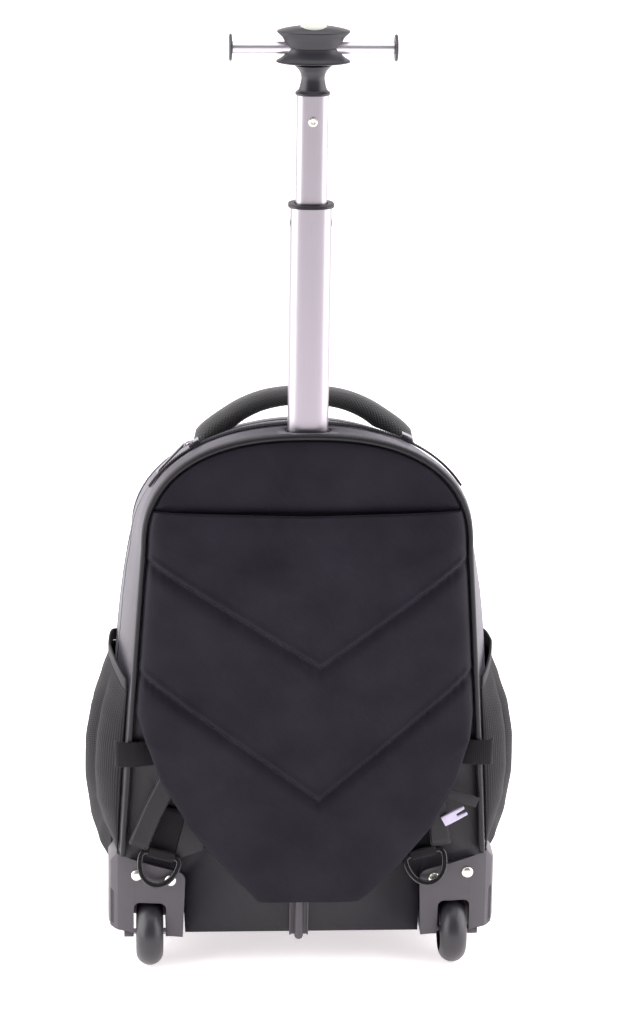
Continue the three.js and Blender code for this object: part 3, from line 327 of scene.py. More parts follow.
def new_material(name, **surface):
    """A material and its shader, with the surface's own numbers set on the shader's sockets."""
    made = bpy.data.materials.new(name)
    made.use_nodes = True
    shader = made.node_tree.nodes["Principled BSDF"]
    for key, value in surface.items():
        shader.inputs[key.replace("_", " ").title().replace("Ior", "IOR")].default_value = value
    return made, made.node_tree, shader


def spacing_scale(period_mm):
    """The wave texture's scale for bands that repeat at a period in mm, on coordinates in metres."""
    return 2 * math.pi / 20 / (period_mm * MM)


def mix_colours(tree, share, low, high):
    return add(tree, "ShaderNodeMix", {"data_type": "RGBA", 6: low, 7: high}, {0: share}).outputs[2]


def wear(material, *pieces):
    """Gives pieces a material."""
    for piece in pieces:
        piece.data.materials.clear()
        piece.data.materials.append(material)


print("material helpers ready")

# %% [markdown]
# The bag's cloth is a polyester twill: fine diagonal ribs, dyed black, with a faint violet cast and a soft
# sheen where it turns away. The real ribs are about 0.6 mm apart, too fine for this picture, so they are
# drawn 1.6 mm apart. Slow blotches in the colour stand for the way that the cloth takes the light in
# patches.

# %% Cloth finishes
TWILL_MM = 1.6
BLOTCH_MM = 60
FIBRE_MM = 0.8


def twill(name, dark, light, roughness=0.55, sheen=0.5, specular=0.3, relief=0.25):
    material, tree, shader = new_material(name, roughness=roughness, sheen_weight=sheen, sheen_roughness=0.3)
    shader.inputs["Sheen Tint"].default_value = linear("#d9d3e6")
    shader.inputs["Specular IOR Level"].default_value = specular
    place = add(tree, "ShaderNodeTexCoord").outputs["Object"]
    ribs = add(tree, "ShaderNodeTexWave", {
        "wave_type": "BANDS", "bands_direction": "DIAGONAL", "Scale": spacing_scale(TWILL_MM),
        "Distortion": 0.4, "Detail Scale": 3.0,
    }, {"Vector": place})
    blotches = add(tree, "ShaderNodeTexNoise", {"Scale": 1 / (BLOTCH_MM * MM), "Detail": 3.0},
                   {"Vector": place})
    fibres = add(tree, "ShaderNodeTexNoise", {"Scale": 1 / (FIBRE_MM * MM), "Detail": 2.0}, {"Vector": place})
    both = add(tree, "ShaderNodeMath", {"operation": "MULTIPLY_ADD", 1: 0.18},
               {0: ribs.outputs["Fac"], 2: blotches.outputs["Fac"]})
    share = add(tree, "ShaderNodeMapRange", {"From Min": 0.35, "From Max": 1.0}, {"Value": both.outputs[0]})
    colour = mix_colours(tree, share.outputs["Result"], linear(dark), linear(light))
    tree.links.new(colour, shader.inputs["Base Color"])
    height = add(tree, "ShaderNodeMath", {"operation": "MULTIPLY_ADD", 1: 0.5},
                 {0: fibres.outputs["Fac"], 2: ribs.outputs["Fac"]})
    bump = add(tree, "ShaderNodeBump", {"Strength": relief, "Distance": 0.3 * MM},
               {"Height": height.outputs[0]})
    tree.links.new(bump.outputs["Normal"], shader.inputs["Normal"])
    return material


bag_twill = twill("bag_twill", "#141217", "#1d1a20", roughness=0.45, sheen=0.4)
padded_twill = twill("padded_twill", "#141219", "#242029", roughness=0.5, sheen=0.06, specular=0.1)
print("cloth:", bag_twill.name, padded_twill.name)

# %% [markdown]
# Webbing and binding are woven flat, with ribs across their length. Their UV map is in millimetres, so that
# the ribs follow the band round each fold. The same function serves the mesh of the pockets, with a second
# set of bands that breaks the ribs into the cells of a knit.

# %% Woven finishes
WEBBING_RIB_MM = 1.8
MESH_RIB_MM = 2.2
MESH_CELL_MM = 3.2


def banded(name, dark, light, along_mm, across_mm=None, roughness=0.7, relief=0.6, depth_mm=0.4, sheen=0.08):
    material, tree, shader = new_material(name, roughness=roughness, sheen_weight=sheen, sheen_roughness=0.5)
    shader.inputs["Specular IOR Level"].default_value = 0.12
    place = add(tree, "ShaderNodeUVMap", {"uv_map": "surface"}).outputs["UV"]
    bands = add(tree, "ShaderNodeTexWave", {"wave_type": "BANDS", "bands_direction": "Y",
                                            "Scale": math.pi / 10 / along_mm}, {"Vector": place})
    height = bands.outputs["Fac"]
    if across_mm:
        cells = add(tree, "ShaderNodeTexWave", {"wave_type": "BANDS", "bands_direction": "X",
                                                "Scale": math.pi / 10 / across_mm}, {"Vector": place})
        height = add(tree, "ShaderNodeMath", {"operation": "MULTIPLY"},
                     {0: height, 1: cells.outputs["Fac"]}).outputs[0]
    colour = mix_colours(tree, height, linear(dark), linear(light))
    tree.links.new(colour, shader.inputs["Base Color"])
    bump = add(tree, "ShaderNodeBump", {"Strength": relief, "Distance": depth_mm * MM}, {"Height": height})
    tree.links.new(bump.outputs["Normal"], shader.inputs["Normal"])
    return material


webbing_weave = banded("polyester_webbing", "#0e0d0f", "#1b191d", WEBBING_RIB_MM, relief=0.3)
binding_weave = banded("binding_tape", "#1e1c20", "#302d32", WEBBING_RIB_MM, relief=0.2)
pocket_mesh = banded("pocket_mesh", "#0b0a0c", "#3b383d", MESH_RIB_MM, MESH_CELL_MM, sheen=0.04)
print("woven:", webbing_weave.name, binding_weave.name, pocket_mesh.name)

# %% [markdown]
# The hard pieces are moulded plastic, turned or drawn metal, and a polyurethane tyre. A moulded surface is
# never quite flat, so a faint noise breaks its reflections. The tube is drawn and brushed along its length,
# which pulls each highlight into upright streaks: a noise that is stretched along Z drives both its
# roughness and its bump.

# %% Hard finishes
GRAIN_MM = 0.9
BRUSH_MM = 0.5
BRUSH_STRETCH = 0.02


def moulded(name, colour, roughness, relief=0.12, coat=0.0):
    material, tree, shader = new_material(name, roughness=roughness, coat_weight=coat, coat_roughness=0.08)
    place = add(tree, "ShaderNodeTexCoord").outputs["Object"]
    grain = add(tree, "ShaderNodeTexNoise", {"Scale": 1 / (GRAIN_MM * MM), "Detail": 2.0}, {"Vector": place})
    cloud = add(tree, "ShaderNodeTexNoise", {"Scale": 1 / (25 * MM), "Detail": 2.0}, {"Vector": place})
    base = linear(colour)
    lighter = tuple(min(1.0, c * 1.35) for c in base[:3]) + (1,)
    tree.links.new(mix_colours(tree, cloud.outputs["Fac"], base, lighter), shader.inputs["Base Color"])
    rough = add(tree, "ShaderNodeMapRange", {"To Min": roughness - 0.06, "To Max": roughness + 0.08},
                {"Value": cloud.outputs["Fac"]})
    tree.links.new(rough.outputs["Result"], shader.inputs["Roughness"])
    bump = add(tree, "ShaderNodeBump", {"Strength": relief, "Distance": 0.1 * MM},
               {"Height": grain.outputs["Fac"]})
    tree.links.new(bump.outputs["Normal"], shader.inputs["Normal"])
    return material


def brushed(name, colour, roughness, along="z", relief=0.15):
    material, tree, shader = new_material(name, metallic=1.0, roughness=roughness)
    place = add(tree, "ShaderNodeTexCoord").outputs["Object"]
    stretch = tuple(BRUSH_STRETCH if axis == along else 1.0 for axis in "xyz")
    stretched = add(tree, "ShaderNodeMapping", {"Scale": stretch}, {"Vector": place})
    lines = add(tree, "ShaderNodeTexNoise", {"Scale": 1 / (BRUSH_MM * MM), "Detail": 3.0},
                {"Vector": stretched.outputs["Vector"]})
    base = linear(colour)
    darker = tuple(c * 0.86 for c in base[:3]) + (1,)
    tree.links.new(mix_colours(tree, lines.outputs["Fac"], darker, base), shader.inputs["Base Color"])
    rough = add(tree, "ShaderNodeMapRange", {"To Min": roughness - 0.05, "To Max": roughness + 0.1},
                {"Value": lines.outputs["Fac"]})
    tree.links.new(rough.outputs["Result"], shader.inputs["Roughness"])
    bump = add(tree, "ShaderNodeBump", {"Strength": relief, "Distance": 0.05 * MM},
               {"Height": lines.outputs["Fac"]})
    tree.links.new(bump.outputs["Normal"], shader.inputs["Normal"])
    return material


housing_plastic = moulded("moulded_polypropylene", "#3b373d", 0.42)
ring_plastic = moulded("glossy_acetal", "#0c0b0d", 0.2, relief=0.03, coat=0.7)
grip_plastic = moulded("satin_grip_plastic", "#1d1b21", 0.36)
tyre_rubber = moulded("polyurethane_tyre", "#252227", 0.36)
buckle_plastic = moulded("pale_buckle_nylon", "#a49db2", 0.25, coat=0.4)
# The push button's pale colour is a painted reflection: the whole button gets the paleness of the light that
# its top face reflects from above.
button_painted_pale = moulded("button_pale_painted_reflection", "#b3b5ac", 0.3)
sleeve_plastic = moulded("dark_sleeve_plastic", "#121114", 0.45)
tube_metal = brushed("brushed_aluminium_tube", "#aaa4ac", 0.3)
# The cross bar is the same aluminium as the tube, with its colour painted much lighter: a painted highlight
# for the bright light on the bar.
bar_metal_painted_lighter = brushed("brushed_aluminium_bar_painted_lighter", "#e6e1e8", 0.35, along="x")
rivet_metal = brushed("nickel_rivet", "#f3f0e4", 0.25, relief=0.05)
zip_metal = brushed("nickel_zip", "#a09ca4", 0.22, relief=0.05)
print("hard finishes:", len(bpy.data.materials), "materials in all")

# %% [markdown]
# The bag's form is a row of cross-sections from back to front. Each has straight-ish tapering sides and an
# arch on top. The table holds shares of the bag's depth, half width and height, and it is the one that the
# CAD model uses. Between its rows the values are read along straight lines.

# %% The bag's form
BAG = {"bottom": 34, "height": 495, "half": 175, "depth": 205, "split": 70, "corner": 16}
BAG_COLUMNS = ("depth", "foot", "shoulder", "rise", "crown", "arch_power", "side_power")
BAG_ROWS = [dict(zip(BAG_COLUMNS, row)) for row in (
    (0.00, 1.000, 0.869, 0.780, 1.000, 2.4, 1.2),
    (0.12, 1.012, 0.890, 0.772, 0.998, 2.3, 1.9),
    (0.39, 1.026, 0.926, 0.740, 0.985, 2.0, 4.0),
    (0.73, 1.020, 0.905, 0.725, 0.945, 2.0, 4.0),
    (0.90, 0.985, 0.870, 0.710, 0.905, 2.0, 3.4),
    (0.97, 0.930, 0.810, 0.690, 0.865, 2.1, 3.0),
    (1.00, 0.850, 0.720, 0.660, 0.805, 2.2, 2.6),
)]


def row_at(rows, key, value, smooth=False):
    """The table's row at a value of one column, read between its rows."""
    last = len(rows) - 1
    i = 0
    while i < last - 1 and rows[i + 1][key] < value:
        i += 1
    low, high = rows[i], rows[i + 1]
    share = min(max((value - low[key]) / (high[key] - low[key]), 0), 1)
    if smooth:
        share = lerp(share, share * share * (3 - 2 * share), 0.35)
    return {name: lerp(low[name], high[name], share) for name in low}


def section(depth):
    row = row_at(BAG_ROWS, "depth", depth / BAG["depth"])
    return {
        **row,
        "foot": row["foot"] * BAG["half"],
        "shoulder": row["shoulder"] * BAG["half"],
        "rise": BAG["bottom"] + row["rise"] * BAG["height"],
        "crown": BAG["bottom"] + row["crown"] * BAG["height"],
    }


def half_at(depth, z):
    """The bag's half width at a depth and a height."""
    s = section(depth)
    if z > s["rise"]:
        share = min((z - s["rise"]) / (s["crown"] - s["rise"]), 1)
        return s["shoulder"] * (1 - share ** s["arch_power"]) ** (1 / s["arch_power"])
    share = max(z - BAG["bottom"], 0) / (s["rise"] - BAG["bottom"])
    return s["foot"] - (s["foot"] - s["shoulder"]) * share ** s["side_power"]


def crown_at(depth, x):
    """The height of the bag's top at a depth and a place across."""
    s = section(depth)
    share = min(abs(x) / s["shoulder"], 1)
    power = s["arch_power"]
    return s["rise"] + (s["crown"] - s["rise"]) * (1 - share ** power) ** (1 / power)


def arch_path(depth, inset, start, up_steps, round_steps):
    """Points from the right side at a start height over the crown to the left side."""
    s = section(depth)
    right = [(half_at(depth, z) - inset, z) for z in
             [lerp(start, s["rise"], k / up_steps) for k in range(up_steps)]]
    power = 2 / s["arch_power"]
    for k in range(round_steps):
        angle = math.pi / 2 * k / round_steps
        across = (s["shoulder"] - inset) * math.cos(angle) ** power
        right.append((across, s["rise"] + (s["crown"] - inset - s["rise"]) * math.sin(angle) ** power))
    return [*right, (0, s["crown"] - inset), *[(-x, z) for x, z in reversed(right)]]


def bag_ring(depth, inset=0, at_depth=None):
    """The closed cross-section at one depth, drawn in by an inset."""
    low = BAG["bottom"] + inset
    corner = BAG["corner"]
    foot = section(depth)["foot"] - inset - corner
    right = arc((foot, low + corner), corner, -90, 0, 5)[:-1]
    base = [(-x, z) for x, z in reversed(right)] + right
    outline = base + arch_path(depth, inset, low + corner, 14, 22)
    return [Vector((x, depth if at_depth is None else at_depth, z)) for x, z in outline]


print("half width at mid height:", round(half_at(80, 250), 1), "mm")

# %% [markdown]
# The bag is two shells of cloth that meet at a seam behind the zip. Each is a skin over the cross-sections,
# moved a little by a slow noise, because empty cloth never hangs true. The rear shell loses its lower
# corners to the wheel housings and gets a slot for the trolley, both cut with the same outlines as in the
# CAD model.

# %% The bag's shells
CLEARANCE = 0.3
SAG_MM = 1.6
SAG_SPAN_MM = 90
HOUSING = {"inner": 111, "outer": 183.5, "top": 115, "depth": 47}
TUBE = {"width": 37.5, "depth": 27}
SLEEVE_AROUND = 2 * (0.8 + 1.5)
TROLLEY_DEPTH = 3 + 2 * CLEARANCE + SLEEVE_AROUND / 2 + TUBE["depth"] / 2


def sagged(p, amount=SAG_MM):
    """A point of the cloth, moved in or out from the bag's middle by a slow noise."""
    outward = Vector((p.x, 0, p.z - 250)).normalized()
    return p + outward * noise.noise(p / SAG_SPAN_MM) * amount


def plate(name, outline, from_depth, to_depth):
    """A flat outline in X and Z, extruded forwards."""
    return skin(name, [[Vector((x, depth, z)) for x, z in outline] for depth in (from_depth, to_depth)])


def housing_envelope(side):
    inner, outer = HOUSING["inner"] - CLEARANCE, HOUSING["outer"] + CLEARANCE
    top = HOUSING["top"] + CLEARANCE
    slope_end = top - (outer - inner) * 0.2
    corner = 9
    over = arc((inner + corner, slope_end - 10), corner, 180, 105, 4)
    outline = over + [(outer - 8, top), (outer, top - 12), (outer, 0), (inner, 0)]
    return plate("housing_room", [(side * x, z) for x, z in outline], -20, HOUSING["depth"] + CLEARANCE)


def oval(width, depth, z, count, squareness=2.6, centre=None):
    """A ring round the trolley's middle line, squarer than an ellipse."""
    points = []
    for k in range(count):
        c, s = math.cos(2 * math.pi * k / count), math.sin(2 * math.pi * k / count)
        x = width / 2 * math.copysign(abs(c) ** (2 / squareness), c)
        y = depth / 2 * math.copysign(abs(s) ** (2 / squareness), s)
        points.append(Vector((x, (TROLLEY_DEPTH if centre is None else centre) + y, z)))
    return points


def make_rear_shell():
    depths = [0.001, 1.2, 4, 10, 18, 26, 34, 42, 50, 58, 66, BAG["split"]]
    insets = [1.6, 0.5] + [0] * (len(depths) - 2)
    rings = [[sagged(p, SAG_MM * min(depth / 60, 1)) for p in bag_ring(max(depth, 0), inset)]
             for depth, inset in zip(depths, insets)]
    inner = [bag_ring(BAG["split"], 3), bag_ring(3, 3)]
    shell = skin("rear_cloth_shell", rings + inner)
    around = SLEEVE_AROUND + 2 * CLEARANCE
    width, depth = TUBE["width"] + around, TUBE["depth"] + around
    slot = skin("trolley_slot", [oval(width, depth, z, 40) for z in (480, 560)])
    return cut_out(shell, housing_envelope(-1), housing_envelope(1), slot)


def make_front_shell():
    steps = 20
    depths = [lerp(BAG["split"] + CLEARANCE, BAG["depth"] * 0.9, k / steps) for k in range(steps)]
    depths += [BAG["depth"] * share for share in (0.9, 0.925, 0.95, 0.97, 0.985, 0.995, 1.0)]
    rings = [[sagged(p) for p in bag_ring(depth)] for depth in depths]
    middle = Vector((0, BAG["depth"], BAG["bottom"] + 0.4 * BAG["height"]))
    front = rings[-1]
    for share, proud in ((0.94, 0.9), (0.85, 1.8), (0.7, 2.6), (0.45, 3.2), (0.15, 3.5)):
        rings.append([middle + (p - middle) * share + Vector((0, proud, 0)) for p in front])
    inner = [bag_ring(BAG["depth"] * 0.9, 3), bag_ring(BAG["split"] + CLEARANCE, 3)]
    return skin("front_cloth_shell", inner[::-1][:1] + rings)


rear_shell = make_rear_shell()
front_shell = make_front_shell()
for piece in (rear_shell, front_shell):
    wear(bag_twill, piece)
    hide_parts(piece.name.replace("_cloth", ""))
    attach(piece, "bag")
print("shell faces:", len(rear_shell.data.polygons), len(front_shell.data.polygons))

# %% [markdown]
# Piping hides the seam round the back panel: a cord under a strip of bias-cut cloth. It is a round bar
# along the panel's edge. The front seam has a thinner one all the way round.

# %% Piping
PIPING = {"radius": 2.8, "inset": 1.8, "low": 116}
FRONT_PIPING = {"radius": 2.2, "lift": 0.9, "depth": 174}
piping_cloth = twill("bias_piping", "#0f0e12", "#18151b", roughness=0.4, sheen=0.1)


def make_piping():
    path = [Vector((x, -CLEARANCE - PIPING["radius"], z)) for x, z in
            arch_path(0, PIPING["inset"], PIPING["low"], 40, 60)]
    rear = sweep("piping_round_back", path, round_profile(PIPING["radius"], 12), (0, 1, 0))
    lift = FRONT_PIPING["radius"] + FRONT_PIPING["lift"]
    front = sweep("piping_round_front", bag_ring(FRONT_PIPING["depth"], -lift),
                  round_profile(FRONT_PIPING["radius"], 10), (0, 1, 0), loop=True)
    return rear, front


for piece, node in zip(make_piping(), ("rear_piping", "front_piping")):
    wear(piping_cloth, piece)
    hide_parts(node)
    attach(piece, "bag")
print("piping made")

# %% [markdown]
# The padded panel above the flap is foam under cloth. It rises from its edge in a short roll and then
# nearly flat. Its outline follows the piping round the arch and ends level along the flap's top edge.

# %% Upper back panel
PAD_FADE = 4
PAD_ROLL = ((0, 0.04), (0, 0.36), (0.8, 0.58), (2.4, 0.74), (5.0, 0.84), (9, 0.92), (14, 0.97), (20, 1.0),
            (26, 1.0))
PAD = {"bottom": 458.5, "thickness": 7, "border": 5.6, "tuck": 5, "flap_half": 142, "flap_room": 7}


def crown_path(depth, inset, start, steps):
    """Points of the arch from a start height on the right over the crown to the same height on the left."""
    s = section(depth)
    power = 2 / s["arch_power"]
    wide, tall = s["shoulder"] - inset, s["crown"] - inset - s["rise"]
    first = math.asin(((start - s["rise"]) / tall) ** (1 / power))
    angles = [lerp(first, math.pi / 2, k / steps) for k in range(steps)]
    right = [(wide * math.cos(a) ** power, s["rise"] + tall * math.sin(a) ** power) for a in angles]
    return [*right, (0, s["crown"] - inset), *[(-x, z) for x, z in reversed(right)]]


def room_under_flap(x, z):
    """How thick the panel may be: all of it above the flap's top edge, and less behind the edge."""
    share = min(abs(x) / PAD["flap_half"], 1)
    room = lerp(CLEARANCE, PAD["flap_room"], math.sqrt(1 - share ** 6))
    return lerp(room, PAD["thickness"], min(max((z - PAD["bottom"]) / PAD_FADE, 0), 1))


def make_upper_panel():
    rings = []
    for inset, rise in PAD_ROLL:
        low = PAD["bottom"] - PAD["tuck"] + inset
        outline = crown_path(0, PAD["border"] + inset, low, 40)
        bottom = [(lerp(outline[-1][0], outline[0][0], k / 60), low) for k in range(1, 60)]
        rings.append([Vector((x, -max(min(rise * PAD["thickness"], room_under_flap(x, z)), CLEARANCE), z))
                      for x, z in outline + bottom])
    return skin("padded_upper_panel", rings)


upper_panel = make_upper_panel()
wear(padded_twill, upper_panel)
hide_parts("upper_back_pad")
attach(upper_panel, "bag")
print("upper panel faces:", len(upper_panel.data.polygons))

# %% [markdown]
# The harness flap is one padded sheet. Two stitched seams cross it as wide chevrons and pinch the foam, and
# its lower edge hangs free over the shoulder straps. The table gives each row's heights at the edge and the
# middle; the seams are grooves whose depth fades with the distance from the stitched line.

# %% Harness flap: its table and its form
FLAP = {"top": 457, "bottom": 73, "half_max": 159, "lift": 14.5, "drift": 13}
FLAP_PAD = {"thickness": 7, "thin_edge": 0.55, "groove": 3.4, "edge": 1.5, "slope": 7, "ridge": 0.9,
            "pucker": 0.3, "slack": 1.0, "least": 1.5}
FLAP_COLUMNS = ("edge", "half", "apex", "dent", "apex_drift", "edge_drift", "lie", "lift")
FLAP_ROWS = [dict(zip(FLAP_COLUMNS, row)) for row in (
    (1.000, 0, 0.990, 0.3, 0.0, 0, 0.05, 0.60),
    (0.979, 0, 0.966, 0.0, 0.1, 0, 0.05, 0.66),
    (0.928, 0, 0.788, 0.0, 0.6, 0, 0.05, 0.92),
    (0.897, 0, 0.641, 0.0, 1.0, 0, 0.05, 1.00),
    (0.880, 0, 0.612, 1.0, 1.0, 0, 0.05, 1.00),
    (0.858, 0, 0.581, 0.0, 1.0, 0, 0.05, 1.00),
    (0.747, 0, 0.444, 0.0, 1.0, 0, 0.05, 1.00),
    (0.620, 0, 0.297, 0.0, 1.0, 0, 0.05, 1.00),
    (0.597, 0, 0.269, 1.0, 1.0, 0, 0.05, 1.00),
    (0.574, 0, 0.240, 0.0, 1.0, 0, 0.05, 1.00),
    (0.488, 0, 0.199, 0.0, 0.9, 0, 0.10, 1.00),
    (0.421, 0.953, 0.150, 0.0, 0.8, 0.2, 0.62, 1.00),
    (0.318, 0.868, 0.116, 0.0, 0.7, 0.3, 0.94, 1.00),
    (0.195, 0.711, 0.065, 0.0, 0.6, 0.5, 0.94, 0.98),
    (0.101, 0.535, 0.028, 0.0, 0.5, 0.5, 0.90, 0.92),
    (0.018, 0.352, 0.006, 0.0, 0.4, 0.5, 0.82, 0.86),
    (0.000, 0.308, 0.000, 0.4, 0.4, 0.4, 0.80, 0.84),
)]
FLAP_STEP_MM = 2.2
FLAP_COLUMNS_COUNT = 170
FLAP_HEIGHT = FLAP["top"] - FLAP["bottom"]


def with_half(row):
    """A row with its half width in mm: its own where it hangs free, and up to the piping where it is sewn."""
    z = FLAP["bottom"] + row["edge"] * FLAP_HEIGHT
    sewn = half_at(0, z) - PIPING["inset"] - PIPING["radius"] - 1
    return {**row, "half": row["half"] * FLAP["half_max"] or sewn}


def flap_line(row, share):
    """The place across and the height on a row, from -1 at its left end to 1 at its right end."""
    end = math.copysign(row["half"], share) + row["edge_drift"] * FLAP["drift"]
    x = lerp(row["apex_drift"] * FLAP["drift"], end, abs(share))
    z = FLAP["bottom"] + lerp(row["apex"], row["edge"], abs(share)) * FLAP_HEIGHT
    return x, z


def flap_rows():
    """The table's rows with even steps between them. A sewn edge follows the piping in between as well."""
    rows = []
    for low, high in zip(FLAP_ROWS, FLAP_ROWS[1:]):
        span = max(low["edge"] - high["edge"], low["apex"] - high["apex"]) * FLAP_HEIGHT
        steps = max(2, round(span / FLAP_STEP_MM))
        if low["half"] > 0 or high["half"] > 0:
            low, high = with_half(low), with_half(high)
            rows += [{name: lerp(low[name], high[name], k / steps) for name in low} for k in range(steps)]
        else:
            between = [{name: lerp(low[name], high[name], k / steps) for name in low} for k in range(steps)]
            rows += [with_half(row) for row in between]
    return rows + [with_half(FLAP_ROWS[-1])]


SEAMS = [with_half(row) for row in FLAP_ROWS if row["dent"] == 1.0]
# A seam runs at a slant, so a height above it is a little more than the distance square to it.
SEAM_SLANT = 0.84
RIDGE = {"away": 4, "width": 3}
PUCKER = {"turn": 0.84, "wander": 4, "along": 14, "between_seams": 40, "reach_above": 6, "reach_below": 9}
SLACK = {"across": 46, "up": 34, "small": 17}


def seam_relief(x, z, share):
    """How far the seams pull the cloth in, in mm: a lapped edge above, a slow rise below, and puckers."""
    pulled = 0.0
    for seam in SEAMS:
        _, seam_z = flap_line(seam, share)
        away = (z - seam_z) * SEAM_SLANT
        uneven = noise.noise(Vector((x / PUCKER["along"], seam_z / PUCKER["between_seams"], 0)))
        ripple = math.sin(x * PUCKER["turn"] + PUCKER["wander"] * uneven)
        if away > 0:
            pulled += FLAP_PAD["groove"] * math.exp(-(away / FLAP_PAD["edge"]) ** 2)
            pulled -= FLAP_PAD["ridge"] * math.exp(-((away - RIDGE["away"]) / RIDGE["width"]) ** 2)
            pulled += FLAP_PAD["pucker"] * ripple * math.exp(-away / PUCKER["reach_above"])
        else:
            pulled += FLAP_PAD["groove"] * math.exp(-(away / FLAP_PAD["slope"]) ** 2)
            pulled += FLAP_PAD["pucker"] * ripple * math.exp(away / PUCKER["reach_below"])
    return pulled


def flap_point(row, share, outer):
    x, z = flap_line(row, share)
    dome = math.sqrt(1 - abs(share) ** 6)
    lie = max(row["lie"] * FLAP["lift"], CLEARANCE)
    under = lie + (row["lift"] * FLAP["lift"] - lie) * dome
    swell = FLAP_PAD["thickness"] * lerp(FLAP_PAD["thin_edge"], 1, dome) if outer else 0
    if outer:
        waves = noise.noise(Vector((x / SLACK["across"], z / SLACK["up"], 3)))
        slack = FLAP_PAD["slack"] * (waves + 0.4 * noise.noise(Vector((x, z, 9)) / SLACK["small"]))
        swell -= min(seam_relief(x, z, share) - slack * dome, swell - FLAP_PAD["least"])
    return Vector((x, -under - swell, z))


print("flap rows:", len(flap_rows()), "seams:", len(SEAMS))

# %% Harness flap: its mesh
def make_flap():
    rows = flap_rows()
    shares = [2 * c / FLAP_COLUMNS_COUNT - 1 for c in range(FLAP_COLUMNS_COUNT + 1)]
    shares = [math.copysign(abs(s) ** 0.85, s) for s in shares]
    outer, inner = [[[flap_point(row, s, side) for s in shares] for row in rows] for side in (True, False)]
    return round_edges(sheet_solid("padded_harness_flap", outer, inner), 1.6, segments=4, rim_only=True)


flap = make_flap()
wear(padded_twill, flap)
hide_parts("harness_flap")
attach(flap, "bag")
print("flap faces:", len(flap.data.polygons))

# %% [markdown]
# What repeats along a line is made by Geometry Nodes. One tree takes a line, sets points along it at an
# even spacing, puts a small rounded bar on each point, turned along the line and facing outwards, and
# realizes them. It makes the stitches, the zip's teeth and the grooves in the wheel housings.

# %% A row of small bars


def bars_tree():
    tree = bpy.data.node_groups.new("bars_along_a_line", "GeometryNodeTree")
    face = tree.interface
    face.new_socket("Line", in_out="INPUT", socket_type="NodeSocketGeometry")
    face.new_socket("Spacing", in_out="INPUT", socket_type="NodeSocketFloat")
    face.new_socket("Size", in_out="INPUT", socket_type="NodeSocketVector")
    face.new_socket("Facing", in_out="INPUT", socket_type="NodeSocketVector")
    face.new_socket("Tilt", in_out="INPUT", socket_type="NodeSocketFloat")
    face.new_socket("Material", in_out="INPUT", socket_type="NodeSocketMaterial")
    face.new_socket("Bars", in_out="OUTPUT", socket_type="NodeSocketGeometry")
    start = add(tree, "NodeGroupInput").outputs
    curve = add(tree, "GeometryNodeMeshToCurve", links={"Mesh": start["Line"]})
    points = add(tree, "GeometryNodeResampleCurve", {"mode": "LENGTH"},
                 {"Curve": curve.outputs["Curve"], "Length": start["Spacing"]})
    tangent = add(tree, "GeometryNodeInputTangent").outputs["Tangent"]
    along = add(tree, "FunctionNodeAlignRotationToVector", {"axis": "X"}, {"Vector": tangent})
    facing = add(tree, "FunctionNodeAlignRotationToVector", {"axis": "Z", "pivot_axis": "X"},
                 {"Rotation": along.outputs["Rotation"], "Vector": start["Facing"]})
    tilt = add(tree, "ShaderNodeCombineXYZ", links={"Z": start["Tilt"]})
    turn = add(tree, "FunctionNodeEulerToRotation", links={"Euler": tilt.outputs["Vector"]})
    turned = add(tree, "FunctionNodeRotateRotation", {"rotation_space": "LOCAL"},
                 {"Rotation": facing.outputs["Rotation"], "Rotate By": turn.outputs["Rotation"]})
    ball = add(tree, "GeometryNodeMeshUVSphere", {"Segments": 8, "Rings": 5, "Radius": 0.5})
    soft = add(tree, "GeometryNodeSetShadeSmooth", links={"Geometry": ball.outputs["Mesh"]})
    placed = add(tree, "GeometryNodeInstanceOnPoints", links={
        "Points": points.outputs["Curve"], "Instance": soft.outputs["Geometry"],
        "Rotation": turned.outputs["Rotation"], "Scale": start["Size"],
    })
    real = add(tree, "GeometryNodeRealizeInstances", links={"Geometry": placed.outputs["Instances"]})
    dressed = add(tree, "GeometryNodeSetMaterial",
                  links={"Geometry": real.outputs["Geometry"], "Material": start["Material"]})
    add(tree, "NodeGroupOutput", links={"Bars": dressed.outputs["Geometry"]})
    return tree


BARS = bars_tree()


def bars_along(name, lines, spacing, size, facing, material, tilt=0.0):
    """A mesh of small rounded bars along lines of points in mm: size is length, width and height in mm."""
    points = [to_frame(p) for line in lines for p in line]
    edges, start = [], 0
    for line in lines:
        edges += [(start + i, start + i + 1) for i in range(len(line) - 1)]
        start += len(line)
    mesh = bpy.data.meshes.new(name)
    mesh.from_pydata(points, edges, [])
    piece = bpy.data.objects.new(name, mesh)
    bpy.context.scene.collection.objects.link(piece)
    modifier = piece.modifiers.new("bars", "NODES")
    modifier.node_group = BARS
    inputs = {item.name: item.identifier for item in BARS.interface.items_tree if item.in_out == "INPUT"}
    values = {"Spacing": spacing * MM, "Size": [v * MM for v in size], "Facing": facing, "Tilt": tilt,
              "Material": material}
    for key, value in values.items():
        modifier[inputs[key]] = value
    return settle(piece)


print("tree ready:", BARS.name)

# %% [markdown]
# The seams are sewn with thick black thread, about seven stitches to 25 mm. The stitches lie at the bottom
# of the groove. Each is a small bar that is longer than it is wide.

# %% Stitches
STITCH = {"length": 3.0, "width": 0.9, "height": 0.8, "spacing": 3.9}
thread = twill("bonded_thread", "#131215", "#232126", roughness=0.6, sheen=0.2)


def seam_line(row, inset=0.0, steps=120):
    shares = [lerp(-0.985, 0.985, k / steps) for k in range(steps + 1)]
    return [flap_point(row, s, True) + Vector((0, inset, 0)) for s in shares]


stitches = bars_along("flap_stitches", [seam_line(row) for row in SEAMS], STITCH["spacing"],
                      (STITCH["length"], STITCH["width"], STITCH["height"]), (0, -1, 0), thread)
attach(stitches, "bag")
print("stitch faces:", len(stitches.data.polygons))

# %% [markdown]
# The shoulder straps are stowed behind the flap, and only their lower ends show. Each is a padded band with
# rolled edges that narrows towards the webbing. A smooth curve runs through the same rows as in the CAD
# model.

